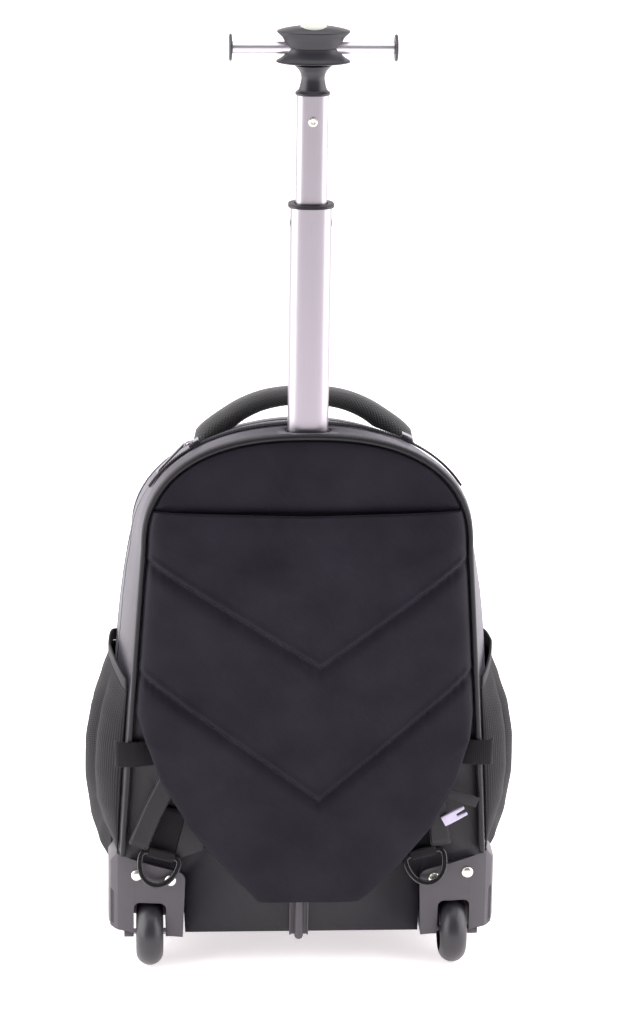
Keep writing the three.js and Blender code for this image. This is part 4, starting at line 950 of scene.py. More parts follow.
# %% Shoulder straps
STRAP = {"thickness": 9, "top_width": 52, "end_width": 19, "top": 425, "behind": 2.4}
STRAP_ROWS = {
    -1: ((0.930, 0.260, 0.0), (0.850, 0.310, 0.0), (0.700, 0.430, 0.1), (0.560, 0.590, 0.4),
         (0.455, 0.720, 0.9), (0.385, 0.806, 1.0), (0.300, 0.888, 1.0)),
    1: ((0.930, 0.260, 0.0), (0.850, 0.310, 0.0), (0.700, 0.420, 0.1), (0.560, 0.560, 0.4),
        (0.455, 0.665, 0.9), (0.385, 0.715, 1.0), (0.300, 0.743, 1.0)),
}
SIDES = {"left": -1, "right": 1}


def make_strap(name, side):
    rows = [Vector((side * across * BAG["half"], lerp(STRAP["top_width"], STRAP["end_width"], width) / 2,
                    height * STRAP["top"])) for height, across, width in STRAP_ROWS[side]]
    path = smooth_path(rows, 6)
    middle = -STRAP["behind"] - STRAP["thickness"] / 2
    rings = []
    for i, p in enumerate(path):
        before, after = path[max(i - 1, 0)], path[min(i + 1, len(path) - 1)]
        along = Vector((after.x - before.x, 0, after.z - before.z)).normalized()
        across = along.cross(Vector((0, 1, 0)))
        outline = rounded_bar(2 * p.y, STRAP["thickness"], 3.4, 4)
        rings.append([Vector((p.x, middle, p.z)) + across * a + Vector((0, b, 0)) for a, b in outline])
    return skin(f"padded_strap_{name}", rings)


for name, side in SIDES.items():
    strap = make_strap(name, side)
    wear(bag_twill, strap)
    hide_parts(f"shoulder_strap_{name}")
    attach(strap, "bag")
print("straps made")

# %% [markdown]
# Below each strap a loop of webbing holds a D-ring. The webbing comes down behind the ring's straight bar,
# wraps it and ends in a short front layer. The ring hangs tilted, clear of the wheel housing. A sewn
# triangle of cloth anchors it, and a tab of webbing hooks over the piping higher up.

# %% Webbing, rings, anchors and tabs
WEBBING = {"width": 25, "thickness": 1.8, "under": 165, "fold": 6}
RING = {"wire": 2.5, "width": 42, "drop": 32, "corner": 5, "tilt": 0.3, "turn": 0.26, "bar": 117}
RING_PLACE = {"left": -134, "right": 114}
BAR_DEPTH = -(2 * CLEARANCE + WEBBING["thickness"] + RING["wire"])
ANCHOR = {"reach": 25, "top_reach": 20, "low": 113, "high": 165, "shoulder": 130, "thickness": 2}
TAB = {"width": 25, "thickness": 1.8, "height": 219.5, "inner": 136, "rest": 0.5, "landing": 4}
TAB_END = {"overhang": 9, "hook": 5, "corner": 2}


def band(name, line, width, thickness, across, outward):
    """A flat band along a line, growing to its outer side, with softly rounded edges."""
    across = Vector(across)
    outline = rounded_bar(width, thickness, min(thickness * 0.45, 0.8), 2)
    rings = []
    for i, p in enumerate(line):
        before, after = line[max(i - 1, 0)], line[min(i + 1, len(line) - 1)]
        side = (after - before).normalized().cross(across).normalized()
        if side.dot(outward(p)) < 0:
            side.negate()
        rings.append([p + across * a + side * (b + thickness / 2) for a, b in outline])
    return skin(name, rings)


def turned_at_bar(piece, side, middle):
    """Turns a piece about the ring's bar, so that it hangs in line with the strap."""
    pivot = to_frame((middle, 0, RING["bar"]))
    turn = Matrix.Rotation(-side * RING["turn"], 4, "Y")
    piece.data.transform(Matrix.Translation(pivot) @ turn @ Matrix.Translation(-pivot))
    return piece


def make_ring_webbing(name, middle):
    inner = RING["wire"] + CLEARANCE
    fold = arc((BAR_DEPTH, RING["bar"]), inner, 0, -180, 14)
    down = [(BAR_DEPTH + inner, lerp(WEBBING["under"], RING["bar"], k / 8)) for k in range(8)]
    up = [(BAR_DEPTH - inner, RING["bar"] + WEBBING["fold"] * k / 4) for k in range(1, 5)]
    line = [Vector((middle, y, z)) for y, z in down + fold + up]
    centre = Vector((middle, BAR_DEPTH, RING["bar"]))

    def outward(p):
        return Vector((0, p.y - BAR_DEPTH, 0)) if p.z > RING["bar"] else p - centre

    return band(f"ring_loop_{name}", line, WEBBING["width"], WEBBING["thickness"], (1, 0, 0), outward)


def make_ring(name, middle):
    half, drop, corner = RING["width"] / 2 - RING["wire"], RING["drop"] - RING["wire"], RING["corner"]
    bow = [(half * c, (drop - corner) * s - corner) for c, s in arc((0, 0), 1, -180, 0, 32)]
    left = arc((corner - half, -corner), corner, 180, 90, 6)[1:]
    right = arc((half - corner, -corner), corner, 90, 0, 6)[:-1]
    outline = [*left, *[(x, 0) for x in (-9, 0, 9)], *right, *reversed(bow)]
    tilt = Matrix.Rotation(-RING["tilt"], 3, "X")
    path = [tilt @ Vector((x, 0, z)) + Vector((middle, BAR_DEPTH, RING["bar"])) for x, z in outline]
    normal = tilt @ Vector((0, 1, 0))
    square = rounded_bar(2 * RING["wire"], 2 * RING["wire"], 1.1, 4)
    return sweep(f"d_shaped_ring_{name}", path, lambda share: square, normal, loop=True)


def make_anchor(name, side, middle):
    outer = abs(middle) - WEBBING["width"] / 2 - CLEARANCE
    inner = outer - ANCHOR["reach"]
    corners = [(outer, ANCHOR["low"]), (inner, ANCHOR["shoulder"]),
               (outer - ANCHOR["top_reach"], ANCHOR["high"]), (outer, ANCHOR["high"])]
    outline = [(side * x, z) for x, z in corners]
    piece = plate(f"anchor_cloth_{name}", outline, -CLEARANCE - ANCHOR["thickness"], -CLEARANCE)
    return round_edges(piece, 0.7, 2)


def make_tab(name, side):
    z = TAB["height"]
    piping_half = half_at(0, z) - PIPING["inset"]
    reach = piping_half + PIPING["radius"] + TAB_END["overhang"]
    over = -2 * CLEARANCE - 2 * PIPING["radius"]
    places = [(TAB["inner"], -TAB["rest"]), (TAB["inner"] + TAB["landing"], -TAB["rest"]),
              (piping_half - 2 * PIPING["radius"], over), (reach - TAB_END["corner"], over),
              (reach, over + TAB_END["corner"]), (reach, over + TAB_END["hook"])]
    line = [Vector((side * x, y, z)) for x, y in places]
    path = [p for a, b in zip(line, line[1:]) for p in (a, a.lerp(b, 0.5))] + [line[-1]]

    def outward(p):
        return Vector((side, 0, 0)) if abs(p.x) > reach - TAB_END["corner"] / 2 else Vector((0, -1, 0))

    return band(f"webbing_tab_{name}", path, TAB["width"], TAB["thickness"], (0, 0, 1), outward)


for name, side in SIDES.items():
    middle = RING_PLACE[name]
    group = (
        (turned_at_bar(make_ring_webbing(name, middle), side, middle), webbing_weave, "webbing",
         f"ring_webbing_{name}"),
        (turned_at_bar(make_ring(name, middle), side, middle), ring_plastic, "ring_plastic",
         f"d_ring_{name}"),
        (turned_at_bar(make_anchor(name, side, middle), side, middle), bag_twill, "bag_fabric",
         f"strap_anchor_{name}"),
        (make_tab(name, side), webbing_weave, "webbing", f"side_tab_{name}"),
    )
    for piece, material, slot, node in group:
        wear(material, piece)
        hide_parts(node)
        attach(piece, "bag")
print("webbing, rings, anchors and tabs made")

# %% [markdown]
# The right strap carries a pale moulded buckle with a forked end, and the dark tail of its webbing above
# it.

# %% Buckle and tail
buckle = smooth_copy("strap_buckle", "forked_buckle", 0.7)
wear(buckle_plastic, buckle)
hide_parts("strap_buckle")
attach(buckle, "bag")
tail = smooth_copy("buckle_tail", "webbing_tail", 0.5)
wear(bag_twill, tail)
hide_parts("buckle_tail")
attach(tail, "bag")
print("buckle and tail made")

# %% [markdown]
# The side pockets are knitted mesh, open on top. An elastic binding gathers the mouth, which throws soft
# folds that fade downwards. The sheet is a grid that bows out from the bag, with the folds as a wave across
# it.

# %% Side pockets
POCKET = {"back": 8, "front": 160, "bottom": 75, "mouth": 287, "wall": 2, "seat": 0.6}
POCKET_FORM = {"swell": 22, "bow": 0.6, "gather": 4.6, "folds": 3.5, "over_housing": 2, "seam_slope": 1.2,
               "droop": 12}
BINDING = {"height": 12, "thickness": 2.6}
POCKET_COLUMNS = ("height", "swell")
POCKET_ROWS = [dict(zip(POCKET_COLUMNS, row)) for row in (
    (0.00, 0.00), (0.10, 0.46), (0.24, 0.82), (0.42, 1.00), (0.60, 0.97), (0.76, 0.80), (0.90, 0.48),
    (1.00, 0.20),
)]


def pocket_point(side, height, share, outward):
    """A point of the pocket at a share of its height and of the way from its back seam to its front."""
    row = row_at(POCKET_ROWS, "height", height, smooth=True)
    depth = lerp(POCKET["back"], POCKET["front"], share)
    beyond = max(depth - HOUSING["depth"] - CLEARANCE, 0)
    over = HOUSING["top"] + POCKET_FORM["over_housing"] - beyond * POCKET_FORM["seam_slope"]
    mouth = POCKET["mouth"] - POCKET_FORM["droop"] * (2 * share - 0.9) ** 2
    z = lerp(max(POCKET["bottom"], over), mouth, height)
    bow = math.sin(math.pi * share) ** POCKET_FORM["bow"]
    gathered = 6.75 * height ** 2 * (1 - height)
    valley = abs(math.sin(math.pi * POCKET_FORM["folds"] * share)) ** 0.6
    fold = (2 * valley - 1.3) * gathered * POCKET_FORM["gather"]
    swell = bow * row["swell"] * (POCKET_FORM["swell"] + fold)
    return Vector((side * (half_at(depth, z) + POCKET["seat"] + swell + outward), depth, z))


def make_pocket(name, side):
    rows, columns = 60, 72
    grids = [[[pocket_point(side, r / rows, c / columns, outward) for c in range(columns + 1)]
              for r in range(rows + 1)] for outward in (1.4, 0.4)]
    across = running_length(grids[0][rows // 2])[-1] * MM
    down = running_length([row[columns // 2] for row in grids[0]])[-1] * MM
    return sheet_solid(f"pocket_mesh_{name}", *grids), (across, down)


def make_binding(name, side):
    spare = (BINDING["thickness"] - POCKET["wall"]) / 2
    heights = [0.3 + BINDING["height"] * k / 4 for k in range(5)]
    columns = 72
    grids = [[[pocket_point(side, 1, c / columns, outward) + Vector((0, 0, z)) for c in range(columns + 1)]
              for z in heights]
             for outward in (POCKET["wall"] + spare, spare / 2)]
    return round_edges(sheet_solid(f"pocket_edge_{name}", *grids), 0.8, 3, rim_only=True)


for name, side in SIDES.items():
    pocket, cut = make_pocket(name, side)
    edge = make_binding(name, side)
    wear(pocket_mesh, pocket)
    wear(binding_weave, edge)
    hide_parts(f"mesh_pocket_{name}")
    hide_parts(f"pocket_binding_{name}")
    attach(pocket, "bag")
    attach(edge, "bag")
print("pockets made")

# %% [markdown]
# The wheel housings are moulded corner shells. Their CAD solids have the right shape, so each is copied
# with its edges rounded. Eleven short slanted grooves cross the outer edge. The tree of the stitches places
# one long ball for each groove, and a boolean cuts them all out at once.

# %% Wheel housings and their grooves
GROOVE = {"length": 8.5, "width": 1.5, "depth": 3.2, "spacing": 2.8, "low": 44, "high": 75, "slant": 0.62}
GROOVE_PLACE = (180.2, 9.3)


def groove_line(side):
    """The line through the middles of the grooves, where the rear face turns to the outer side."""
    x, y = GROOVE_PLACE
    return [Vector((side * x, y, lerp(GROOVE["low"], GROOVE["high"], k / 12))) for k in range(13)]


for name, side in SIDES.items():
    housing = smooth_copy(f"wheel_housing_{name}", f"corner_housing_{name}", 1.0)
    cutter = bars_along(f"grooves_{name}", [groove_line(side)], GROOVE["spacing"],
                        (GROOVE["width"], GROOVE["length"], GROOVE["depth"]), (side * 0.8, -0.6, 0),
                        housing_plastic, tilt=GROOVE["slant"] * side)
    cut_out(housing, cutter)
    housing.data.set_sharp_from_angle(angle=math.radians(35))
    wear(housing_plastic, housing)
    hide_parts(f"wheel_housing_{name}")
    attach(housing, "bag")
print("housings made")

# %% [markdown]
# Rivets hold each housing. They are one small dome, placed on four points by Geometry Nodes.

# %% Rivets
RIVET = {"radius": 5.6, "proud": 2.4}


def rivets_tree():
    tree = bpy.data.node_groups.new("rivets_on_points", "GeometryNodeTree")
    tree.interface.new_socket("Points", in_out="INPUT", socket_type="NodeSocketGeometry")
    tree.interface.new_socket("Radius", in_out="INPUT", socket_type="NodeSocketFloat")
    tree.interface.new_socket("Proud", in_out="INPUT", socket_type="NodeSocketFloat")
    tree.interface.new_socket("Material", in_out="INPUT", socket_type="NodeSocketMaterial")
    tree.interface.new_socket("Rivets", in_out="OUTPUT", socket_type="NodeSocketGeometry")
    start = add(tree, "NodeGroupInput").outputs
    ball = add(tree, "GeometryNodeMeshUVSphere", {"Segments": 32, "Rings": 16}, {"Radius": start["Radius"]})
    squeeze = add(tree, "ShaderNodeMath", {"operation": "DIVIDE"}, {0: start["Proud"], 1: start["Radius"]})
    scale = add(tree, "ShaderNodeCombineXYZ", {"X": 1.0, "Z": 1.0}, {"Y": squeeze.outputs[0]})
    turned = add(tree, "GeometryNodeTransform", {"Rotation": (math.pi / 2, 0, 0)},
                 {"Geometry": ball.outputs["Mesh"]})
    dome = add(tree, "GeometryNodeTransform",
               links={"Geometry": turned.outputs["Geometry"], "Scale": scale.outputs["Vector"]})
    soft = add(tree, "GeometryNodeSetShadeSmooth", links={"Geometry": dome.outputs["Geometry"]})
    placed = add(tree, "GeometryNodeInstanceOnPoints",
                 links={"Points": start["Points"], "Instance": soft.outputs["Geometry"]})
    real = add(tree, "GeometryNodeRealizeInstances", links={"Geometry": placed.outputs["Instances"]})
    dressed = add(tree, "GeometryNodeSetMaterial",
                  links={"Geometry": real.outputs["Geometry"], "Material": start["Material"]})
    add(tree, "NodeGroupOutput", links={"Rivets": dressed.outputs["Geometry"]})
    return tree


def make_rivets():
    nodes = [f"rivet_{place}_{name}" for place in ("inner", "outer") for name in SIDES]
    corners = [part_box(node) for node in nodes]
    seats = [Vector(((low.x + high.x) / 2, high.y, (low.z + high.z) / 2)) for low, high in corners]
    mesh = bpy.data.meshes.new("rivet_heads")
    mesh.from_pydata(seats, [], [])
    piece = bpy.data.objects.new("rivet_heads", mesh)
    bpy.context.scene.collection.objects.link(piece)
    modifier = piece.modifiers.new("rivets", "NODES")
    modifier.node_group = rivets_tree()
    inputs = {i.name: i.identifier for i in modifier.node_group.interface.items_tree if i.in_out == "INPUT"}
    modifier[inputs["Radius"]] = RIVET["radius"] * MM
    modifier[inputs["Proud"]] = RIVET["proud"] * MM
    modifier[inputs["Material"]] = rivet_metal
    return settle(piece), nodes


rivets, rivet_nodes = make_rivets()
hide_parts(*rivet_nodes)
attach(rivets, "bag")
print("rivets:", len(rivet_nodes))

# %% [markdown]
# Each wheel is a round polyurethane tyre on a hub. Both are turned shapes, so each is a profile spun round
# the axle. The hub has a dished web between its rim and its boss. Wheels ride on their own bodies, since
# they spin.

# %% Wheels
WHEEL = {"radius": 32, "width": 26, "depth": 10, "tyre": 8, "hub_width": 21, "middle": 144.25}


def turned_part(name, profile, side, steps=64):
    """A closed profile of (radius, across) pairs spun round the axle."""
    rings = []
    for r, h in profile:
        rings.append([Vector((side * WHEEL["middle"] + h, WHEEL["depth"] + r * math.cos(a),
                              WHEEL["radius"] + r * math.sin(a))) for a in
                      [2 * math.pi * k / steps for k in range(steps)]])
    return skin(name, rings, loop=True)


def make_wheel(name, side):
    half = WHEEL["width"] / 2
    inside = WHEEL["radius"] - WHEEL["tyre"]
    crown = [(WHEEL["radius"] - half + x, y) for x, y in arc((0, 0), half, -78, 78, 20)]
    tread = [(inside + 0.4, -half * 0.8), *crown, (inside + 0.4, half * 0.8)]
    tyre = turned_part(f"round_tyre_{name}", tread, side)
    rim = inside - CLEARANCE
    half_hub = WHEEL["hub_width"] / 2
    profile = [(3.4, -half_hub), (8, -half_hub), (9, -half_hub + 1), (10, -4), (rim - 4, -4),
               (rim - 3, -half_hub + 2), (rim - 2, -half_hub + 1), (rim, -half_hub + 1)]
    mirrored = [(r, -h) for r, h in reversed(profile)]
    hub = turned_part(f"dished_hub_{name}", profile + mirrored, side)
    hub.data.set_sharp_from_angle(angle=math.radians(40))
    return tyre, hub


for name, side in SIDES.items():
    tyre, hub = make_wheel(name, side)
    wear(tyre_rubber, tyre)
    wear(housing_plastic, hub)
    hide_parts(f"tyre_{name}")
    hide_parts(f"wheel_hub_{name}")
    for piece in (tyre, hub):
        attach(piece, f"wheel_{name}")
    wear(zip_metal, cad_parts[f"axle_{name}"])
print("wheels made")

# %% [markdown]
# Under the flap a moulded rail runs down the middle of the back. Its thick round middle rib ends in a nose
# below the bag, between two thin outer ribs. The two front feet are plain rounded blocks, copied from the
# CAD model.

# %% Foot rail and front feet
RAIL = {"place": -3, "half": 9, "top": 150, "low": 33, "base": 2, "rib": 4.2, "nose": 4}
RAIL_EDGE = {"width": 1.5, "proud": 2.2}


def make_rail():
    half, base, top = RAIL["half"], RAIL["base"], RAIL["top"]
    edge, proud = RAIL_EDGE["width"], base + RAIL_EDGE["proud"]
    side = [(half, 0), (half, proud), (half - edge, proud), (half - edge, base)]
    outline = side + [(-x, y) for x, y in reversed(side)]
    track = skin("ribbed_foot_rail", [[Vector((RAIL["place"] + x, -CLEARANCE - y, z)) for x, y in outline]
                                      for z in (RAIL["low"], top)])
    round_edges(track, 0.4, 2)
    radius = RAIL["rib"]
    start = RAIL["low"] - RAIL["nose"]
    rings = []
    for k in range(9):
        angle = math.pi / 2 * k / 8
        rings.append((max(radius * math.sin(angle), 0.05), start + radius * (1 - math.cos(angle))))
    rings += [(radius, z) for z in (60, 100, top - 0.2)]
    middle = -CLEARANCE - radius - 0.02
    turns = [2 * math.pi * k / 32 for k in range(32)]
    bulb = skin("rail_rib", [[Vector((RAIL["place"] + r * math.cos(a), middle + r * math.sin(a), z))
                              for a in turns] for r, z in rings])
    joined = track.modifiers.new("joined", "BOOLEAN")
    joined.operation, joined.solver, joined.object = "UNION", "EXACT", bulb
    settle(track)
    bpy.data.objects.remove(bulb)
    track.data.set_sharp_from_angle(angle=math.radians(35))
    return track


rail = make_rail()
foot_nodes = [f"front_foot_{name}" for name in SIDES]
feet = [(smooth_copy(node, node.replace("front", "standing"), 0.8), node) for node in foot_nodes]
for piece, node in [(rail, "foot_rail"), *feet]:
    wear(housing_plastic, piece)
    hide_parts(node)
    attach(piece, "bag")
print("rail and feet made")

# %% [markdown]
# The carry handle is a padded tube covered in a knurled rubbery cloth. Its two ends sit on the bag's crown
# and lean with it. The knurl is two sets of crossed diagonal lines, 2.2 mm apart, in the surface's own
# coordinates.

# %% Carry handle
HANDLE = {"depth": 85, "rise": 542, "foot": 92, "thickness": 17, "foot_thickness": 24, "width": 26,
          "seat": 0.8}
HANDLE_ROWS = ((1.00, 0.00, 1.0), (0.93, 0.18, 0.8), (0.80, 0.42, 0.5), (0.62, 0.69, 0.25), (0.40, 0.89, 0.1),
               (0.14, 0.985, 0.0))
KNURL_MM = 2.2


def knurled(name, dark, light):
    material, tree, shader = new_material(name, roughness=0.55, sheen_weight=0.2)
    place = add(tree, "ShaderNodeUVMap", {"uv_map": "surface"}).outputs["UV"]
    lines = []
    for angle in (38, -38):
        turned = add(tree, "ShaderNodeMapping", {"Rotation": (0, 0, math.radians(angle))}, {"Vector": place})
        lines.append(add(tree, "ShaderNodeTexWave", {"wave_type": "BANDS", "bands_direction": "X",
                                                     "Scale": math.pi / 10 / KNURL_MM},
                         {"Vector": turned.outputs["Vector"]}).outputs["Fac"])
    height = add(tree, "ShaderNodeMath", {"operation": "MULTIPLY"}, {0: lines[0], 1: lines[1]}).outputs[0]
    tree.links.new(mix_colours(tree, height, linear(dark), linear(light)), shader.inputs["Base Color"])
    bump = add(tree, "ShaderNodeBump", {"Strength": 0.6, "Distance": 0.6 * MM}, {"Height": height})
    tree.links.new(bump.outputs["Normal"], shader.inputs["Normal"])
    return material


def seat_height(x, depth):
    return crown_at(depth, x) + HANDLE["seat"]


def make_handle():
    low = seat_height(HANDLE["foot"], HANDLE["depth"])
    right = [Vector((across * HANDLE["foot"], lerp(HANDLE["thickness"], HANDLE["foot_thickness"], thick) / 2,
                     lerp(low, HANDLE["rise"], rise))) for across, rise, thick in HANDLE_ROWS]
    whole = smooth_path(right + [Vector((-p.x, p.y, p.z)) for p in reversed(right)], 8)
    last = len(whole) - 1
    rings = []
    for i, p in enumerate(whole):
        before, after = whole[max(i - 1, 0)], whole[min(i + 1, last)]
        across = Vector((after.z - before.z, 0, before.x - after.x)).normalized()
        ring = []
        for k in range(28):
            c, s = math.cos(2 * math.pi * k / 28), math.sin(2 * math.pi * k / 28)
            wide = p.y * math.copysign(abs(c) ** 0.85, c)
            deep = HANDLE["width"] / 2 * math.copysign(abs(s) ** 0.85, s)
            point = Vector((p.x, HANDLE["depth"] + deep, p.z)) + across * wide
            if i in (0, last):
                point.x = p.x + math.copysign(wide, p.x * wide) if wide else p.x
                point.z = seat_height(point.x, point.y)
            point.z = max(point.z, seat_height(point.x, point.y))
            ring.append(point)
        rings.append(ring)
    return skin("padded_carry_handle", rings)


handle_cover = knurled("knurled_handle_cover", "#0e0d0f", "#242126")
handle = make_handle()
wear(handle_cover, handle)
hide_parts("carry_handle")
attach(handle, "bag")
print("handle faces:", len(handle.data.polygons))

# %% [markdown]
# The zip runs over the crown from side to side. Its tape is a flat strip on the bag, and its two rows of
# teeth are small bars from the same tree. Two sliders sit on it, and the left one carries a ring and a long
# pull.

# %% Zip
ZIP = {"depth": 44, "width": 14, "thickness": 2, "lift": 0.6, "low": 467, "tooth": 2.4}


def zip_line(depth, lift):
    return [Vector((x, depth, z)) for x, z in crown_path(depth, -lift, ZIP["low"], 60)]


def make_zip():
    near, far = ZIP["depth"] - ZIP["width"] / 2, ZIP["depth"] + ZIP["width"] / 2
    top = ZIP["lift"] + ZIP["thickness"] * 0.6
    lines = [zip_line(near, ZIP["lift"]), zip_line(near, top), zip_line(far, top), zip_line(far, ZIP["lift"])]
    tape = skin("zip_tape", [[line[k] for line in lines] for k in range(len(lines[0]))])
    teeth = bars_along("zip_teeth", [zip_line(ZIP["depth"] + shift, top + 0.4) for shift in (-1.3, 1.3)],
                       ZIP["tooth"], (1.5, 3.0, 1.6), (0, 0, 1), sleeve_plastic)
    return tape, teeth


zip_tape, zip_teeth = make_zip()
wear(binding_weave, zip_tape)
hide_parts("zip")
for piece in (zip_tape, zip_teeth):
    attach(piece, "bag")
for node in ("zip_slider_left", "zip_slider_right", "zip_ring_left", "zip_pull_left"):
    piece = smooth_copy(node, f"nickel_{node}", 0.4 if node != "zip_ring_left" else 0.0)
    if node == "zip_ring_left":
        rounding = piece.modifiers.new("rounded", "SUBSURF")
        rounding.levels = rounding.render_levels = 2
        settle(piece)
    wear(zip_metal, piece)
    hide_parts(node)
    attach(piece, "bag")
print("zip tooth faces:", len(zip_teeth.data.polygons))

# %% [markdown]
# The trolley is drawn aluminium tube with an oval section, the upper tube inside the lower one. Each tube
# is a skin over fine rings, open at its ends. A thin black collar caps the lower tube, and small pins show
# at its sides.

# %% Trolley tubes
LOWER = {"width": 37.5, "depth": 27, "wall": 1.5, "bottom": 300, "top": 737}
UPPER = {"width": 28.5, "depth": 19, "wall": 1.4, "bottom": 420, "top": 839}
OVAL_STEPS = 96


def oval_tube(name, size):
    inside = 2 * size["wall"]
    return skin(name, [
        oval(size["width"], size["depth"], size["bottom"], OVAL_STEPS),
        oval(size["width"], size["depth"], size["top"] - 0.3, OVAL_STEPS),
        oval(size["width"] - 0.6, size["depth"] - 0.6, size["top"], OVAL_STEPS),
        oval(size["width"] - inside, size["depth"] - inside, size["top"], OVAL_STEPS),
        oval(size["width"] - inside, size["depth"] - inside, size["bottom"], OVAL_STEPS),
    ], loop=True)


def make_collar():
    low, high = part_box("tube_collar")
    bottom, top = low.z / MM, high.z / MM
    width, depth = (high.x - low.x) / MM, (high.y - low.y) / MM
    bore_width, bore_depth = UPPER["width"] + 1.6, UPPER["depth"] + 1.6
    return skin("collar_ring", [
        oval(width, depth, bottom, OVAL_STEPS), oval(width, depth, top - 0.6, OVAL_STEPS),
        oval(width - 0.6, depth - 0.6, top - 0.15, OVAL_STEPS),
        oval(width - 1.4, depth - 1.4, top, OVAL_STEPS),
        oval(bore_width, bore_depth, top, OVAL_STEPS), oval(bore_width, bore_depth, bottom, OVAL_STEPS),
    ], loop=True)


def sharpened(piece, angle=40):
    piece.data.set_sharp_from_angle(angle=math.radians(angle))
    return piece


tubes = (
    (sharpened(oval_tube("lower_trolley_tube", LOWER)), tube_metal, "tube_metal", "lower_tube",
     "lower_stage"),
    (sharpened(oval_tube("upper_trolley_tube", UPPER)), tube_metal, "tube_metal", "upper_tube",
     "upper_stage"),
    (sharpened(make_collar()), sleeve_plastic, "handle_plastic", "tube_collar", "lower_stage"),
    (smooth_copy("tube_screw", "cross_head_screw", 0.25), rivet_metal, "bright_metal", "tube_screw",
     "upper_stage"),
)
for piece, material, slot, node, body in tubes:
    wear(material, piece)
    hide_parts(node)
    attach(piece, body)
for node in ("trolley_sleeve", "lock_pin_left", "lock_pin_right"):
    wear(sleeve_plastic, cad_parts[node])
print("tubes made")

# %% [markdown]
# The T-handle is moulded in satin black. A waisted neck carries a spool-shaped grip in two halves with a
# parting line, a metal cross bar runs through it to two thin discs, and a push button sits on top. Each
# oval form is a smooth curve through a short profile of half widths and heights.

# %% T-handle
BAR = {"radius": 5.5, "half": 72, "cap": 12.2, "cap_width": 2.5, "height": 881}
NECK_PROFILE = ((15.5, 839.3), (15.5, 841), (12.7, 843.6), (11, 849.9), (10.5, 854.7), (12.1, 860),
                (17, 865.7))
GRIP_LOW_PROFILE = ((17.9, 866), (31.5, 867.9), (32.5, 869.6), (28, 872.5), (23.6, 877.3), (22.5, 880.85))
GRIP_TOP_PROFILE = ((22.5, 881.15), (25.2, 885.7), (28, 890.6), (32.5, 895.1), (30.9, 896.8), (23.4, 898.7),
                    (16, 900))


def oval_form(name, profile, deep):
    """An oval form whose half width and height follow a smooth curve through a profile."""
    path = smooth_path([Vector((half, 0, z)) for half, z in profile], 5)
    piece = skin(name, [oval(2 * p.x, 2 * p.x * deep, p.z, 64, 2.2) for p in path])
    piece.data.set_sharp_from_angle(angle=math.radians(50))
    return piece


def rod(name, from_x, to_x, radius, bevel, steps=40):
    """A bar across, with bevelled ends."""
    profile = [(0.02, from_x), (radius - bevel, from_x), (radius, from_x + bevel), (radius, to_x - bevel),
               (radius - bevel, to_x), (0.02, to_x)]
    rings = [[Vector((x, TROLLEY_DEPTH + r * math.cos(a), BAR["height"] + r * math.sin(a))) for a in
              [2 * math.pi * k / steps for k in range(steps)]] for r, x in profile]
    return sharpened(skin(name, rings))


def make_button():
    low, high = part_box("push_button")
    radius, top, bottom = (high.x - low.x) / 2 / MM, high.z / MM, low.z / MM
    profile = [(0.02, bottom), (radius, bottom), (radius, top - 1.4), (radius - 0.5, top - 0.4),
               (radius - 1.3, top), (radius - 2.0, top - 0.1), (radius - 2.6, top - 0.5), (0.02, top - 0.3)]
    rings = [[Vector((r * math.cos(a), TROLLEY_DEPTH + r * math.sin(a), z)) for a in
              [2 * math.pi * k / 48 for k in range(48)]] for r, z in profile]
    return skin("round_push_button", rings)


cap_start = BAR["half"] + CLEARANCE
handle_pieces = (
    (oval_form("waisted_neck", NECK_PROFILE, 0.82), grip_plastic, "handle_plastic", "grip_neck"),
    (oval_form("spool_grip_low", GRIP_LOW_PROFILE, 0.52), grip_plastic, "handle_plastic", "grip_lower"),
    (oval_form("spool_grip_top", GRIP_TOP_PROFILE, 0.52), grip_plastic, "handle_plastic", "grip_upper"),
    (rod("metal_cross_bar", -BAR["half"], BAR["half"], BAR["radius"], 0.4), bar_metal_painted_lighter, "tube_metal",
     "cross_bar"),
    (rod("end_disc_right", cap_start, cap_start + BAR["cap_width"], BAR["cap"], 0.9), grip_plastic,
     "handle_plastic", "bar_cap_right"),
    (rod("end_disc_left", -cap_start - BAR["cap_width"], -cap_start, BAR["cap"], 0.9), grip_plastic,
     "handle_plastic", "bar_cap_left"),
)
for piece, material, slot, node in handle_pieces:
    wear(material, piece)
    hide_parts(node)
    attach(piece, "upper_stage")
button = make_button()
wear(button_painted_pale, button)
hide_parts("push_button")
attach(button, "button")
print("T-handle made")

# %% [markdown]
# The studio is a pale floor that curves up into a backdrop, soft light from all round, and a large soft
# light on each side. Black cloth needs light at its edges to show its form, so most of it comes from the
# sides and above. The standard view transform keeps the paper white and the cloth near the colour that its
# hex value gives. The paper gives off a little light of its own, as an overexposed backdrop seems to.

# %% Floor and light
FLOOR_HALF = 12.0
BACKDROP_START = 3.0
BACKDROP_CURVE = 1.5


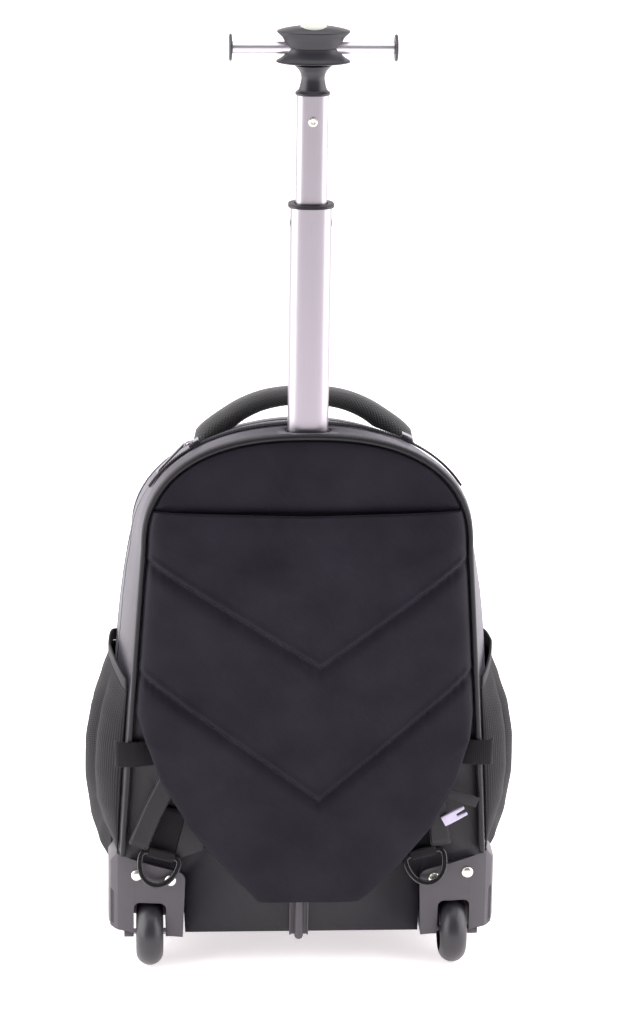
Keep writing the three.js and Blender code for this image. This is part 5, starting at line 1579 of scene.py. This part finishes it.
def make_floor():
    material, tree, shader = new_material("pale_paper", roughness=0.9, emission_strength=0.6)
    shader.inputs["Emission Color"].default_value = linear("#fff8fa")
    place = add(tree, "ShaderNodeTexCoord").outputs["Object"]
    cloud = add(tree, "ShaderNodeTexNoise", {"Scale": 1.5, "Detail": 2.0}, {"Vector": place})
    tree.links.new(mix_colours(tree, cloud.outputs["Fac"], linear("#fdfbfc"), linear("#fffdfd")),
                   shader.inputs["Base Color"])
    profile = [(-FLOOR_HALF, 0.0), (BACKDROP_START, 0.0)]
    profile += arc((BACKDROP_START, BACKDROP_CURVE), BACKDROP_CURVE, -90, 0, 16)[1:]
    profile.append((BACKDROP_START + BACKDROP_CURVE, 5.0))
    points = [Vector((side * FLOOR_HALF, y, z)) for y, z in profile for side in (-1, 1)]
    faces = [(2 * i, 2 * i + 1, 2 * i + 3, 2 * i + 2) for i in range(len(profile) - 1)]
    mesh = bpy.data.meshes.new("studio_floor")
    mesh.from_pydata(points, [], faces)
    mesh.polygons.foreach_set("use_smooth", [True] * len(mesh.polygons))
    floor = bpy.data.objects.new("studio_floor", mesh)
    bpy.context.scene.collection.objects.link(floor)
    wear(material, floor)


def soft_light(name, place, size, watts):
    data = bpy.data.lights.new(name, "AREA")
    data.shape, data.size, data.size_y, data.energy = "RECTANGLE", size[0], size[1], watts
    light = bpy.data.objects.new(name, data)
    light.location = place
    light.rotation_mode = "QUATERNION"
    light.rotation_quaternion = (Vector((0, 0, 0.35)) - Vector(place)).to_track_quat("-Z", "Y")
    bpy.context.scene.collection.objects.link(light)


def make_world():
    world = bpy.data.worlds.new("soft_studio")
    world.use_nodes = True
    tree = world.node_tree
    ground = tree.nodes["Background"]
    place = add(tree, "ShaderNodeTexCoord").outputs["Generated"]
    parts = add(tree, "ShaderNodeSeparateXYZ", links={"Vector": place})
    front = add(tree, "ShaderNodeMapRange",
                {"From Min": -0.9, "From Max": 0.1, "interpolation_type": "SMOOTHSTEP"},
                {"Value": parts.outputs["Y"]})
    colour = mix_colours(tree, front.outputs["Result"], linear("#6f6b73"), linear("#ffffff"))
    tree.links.new(colour, ground.inputs["Color"])
    ground.inputs["Strength"].default_value = 1.0
    bpy.context.scene.world = world


bpy.context.scene.view_settings.view_transform = "Standard"
make_floor()
make_world()
soft_light("left_window", (-1.7, -0.3, 0.9), (2.2, 2.0), 50)
soft_light("right_window", (1.7, -0.3, 0.9), (2.2, 2.0), 42)
soft_light("top_window", (0, -0.2, 2.6), (2.0, 2.0), 22)
print("studio ready")
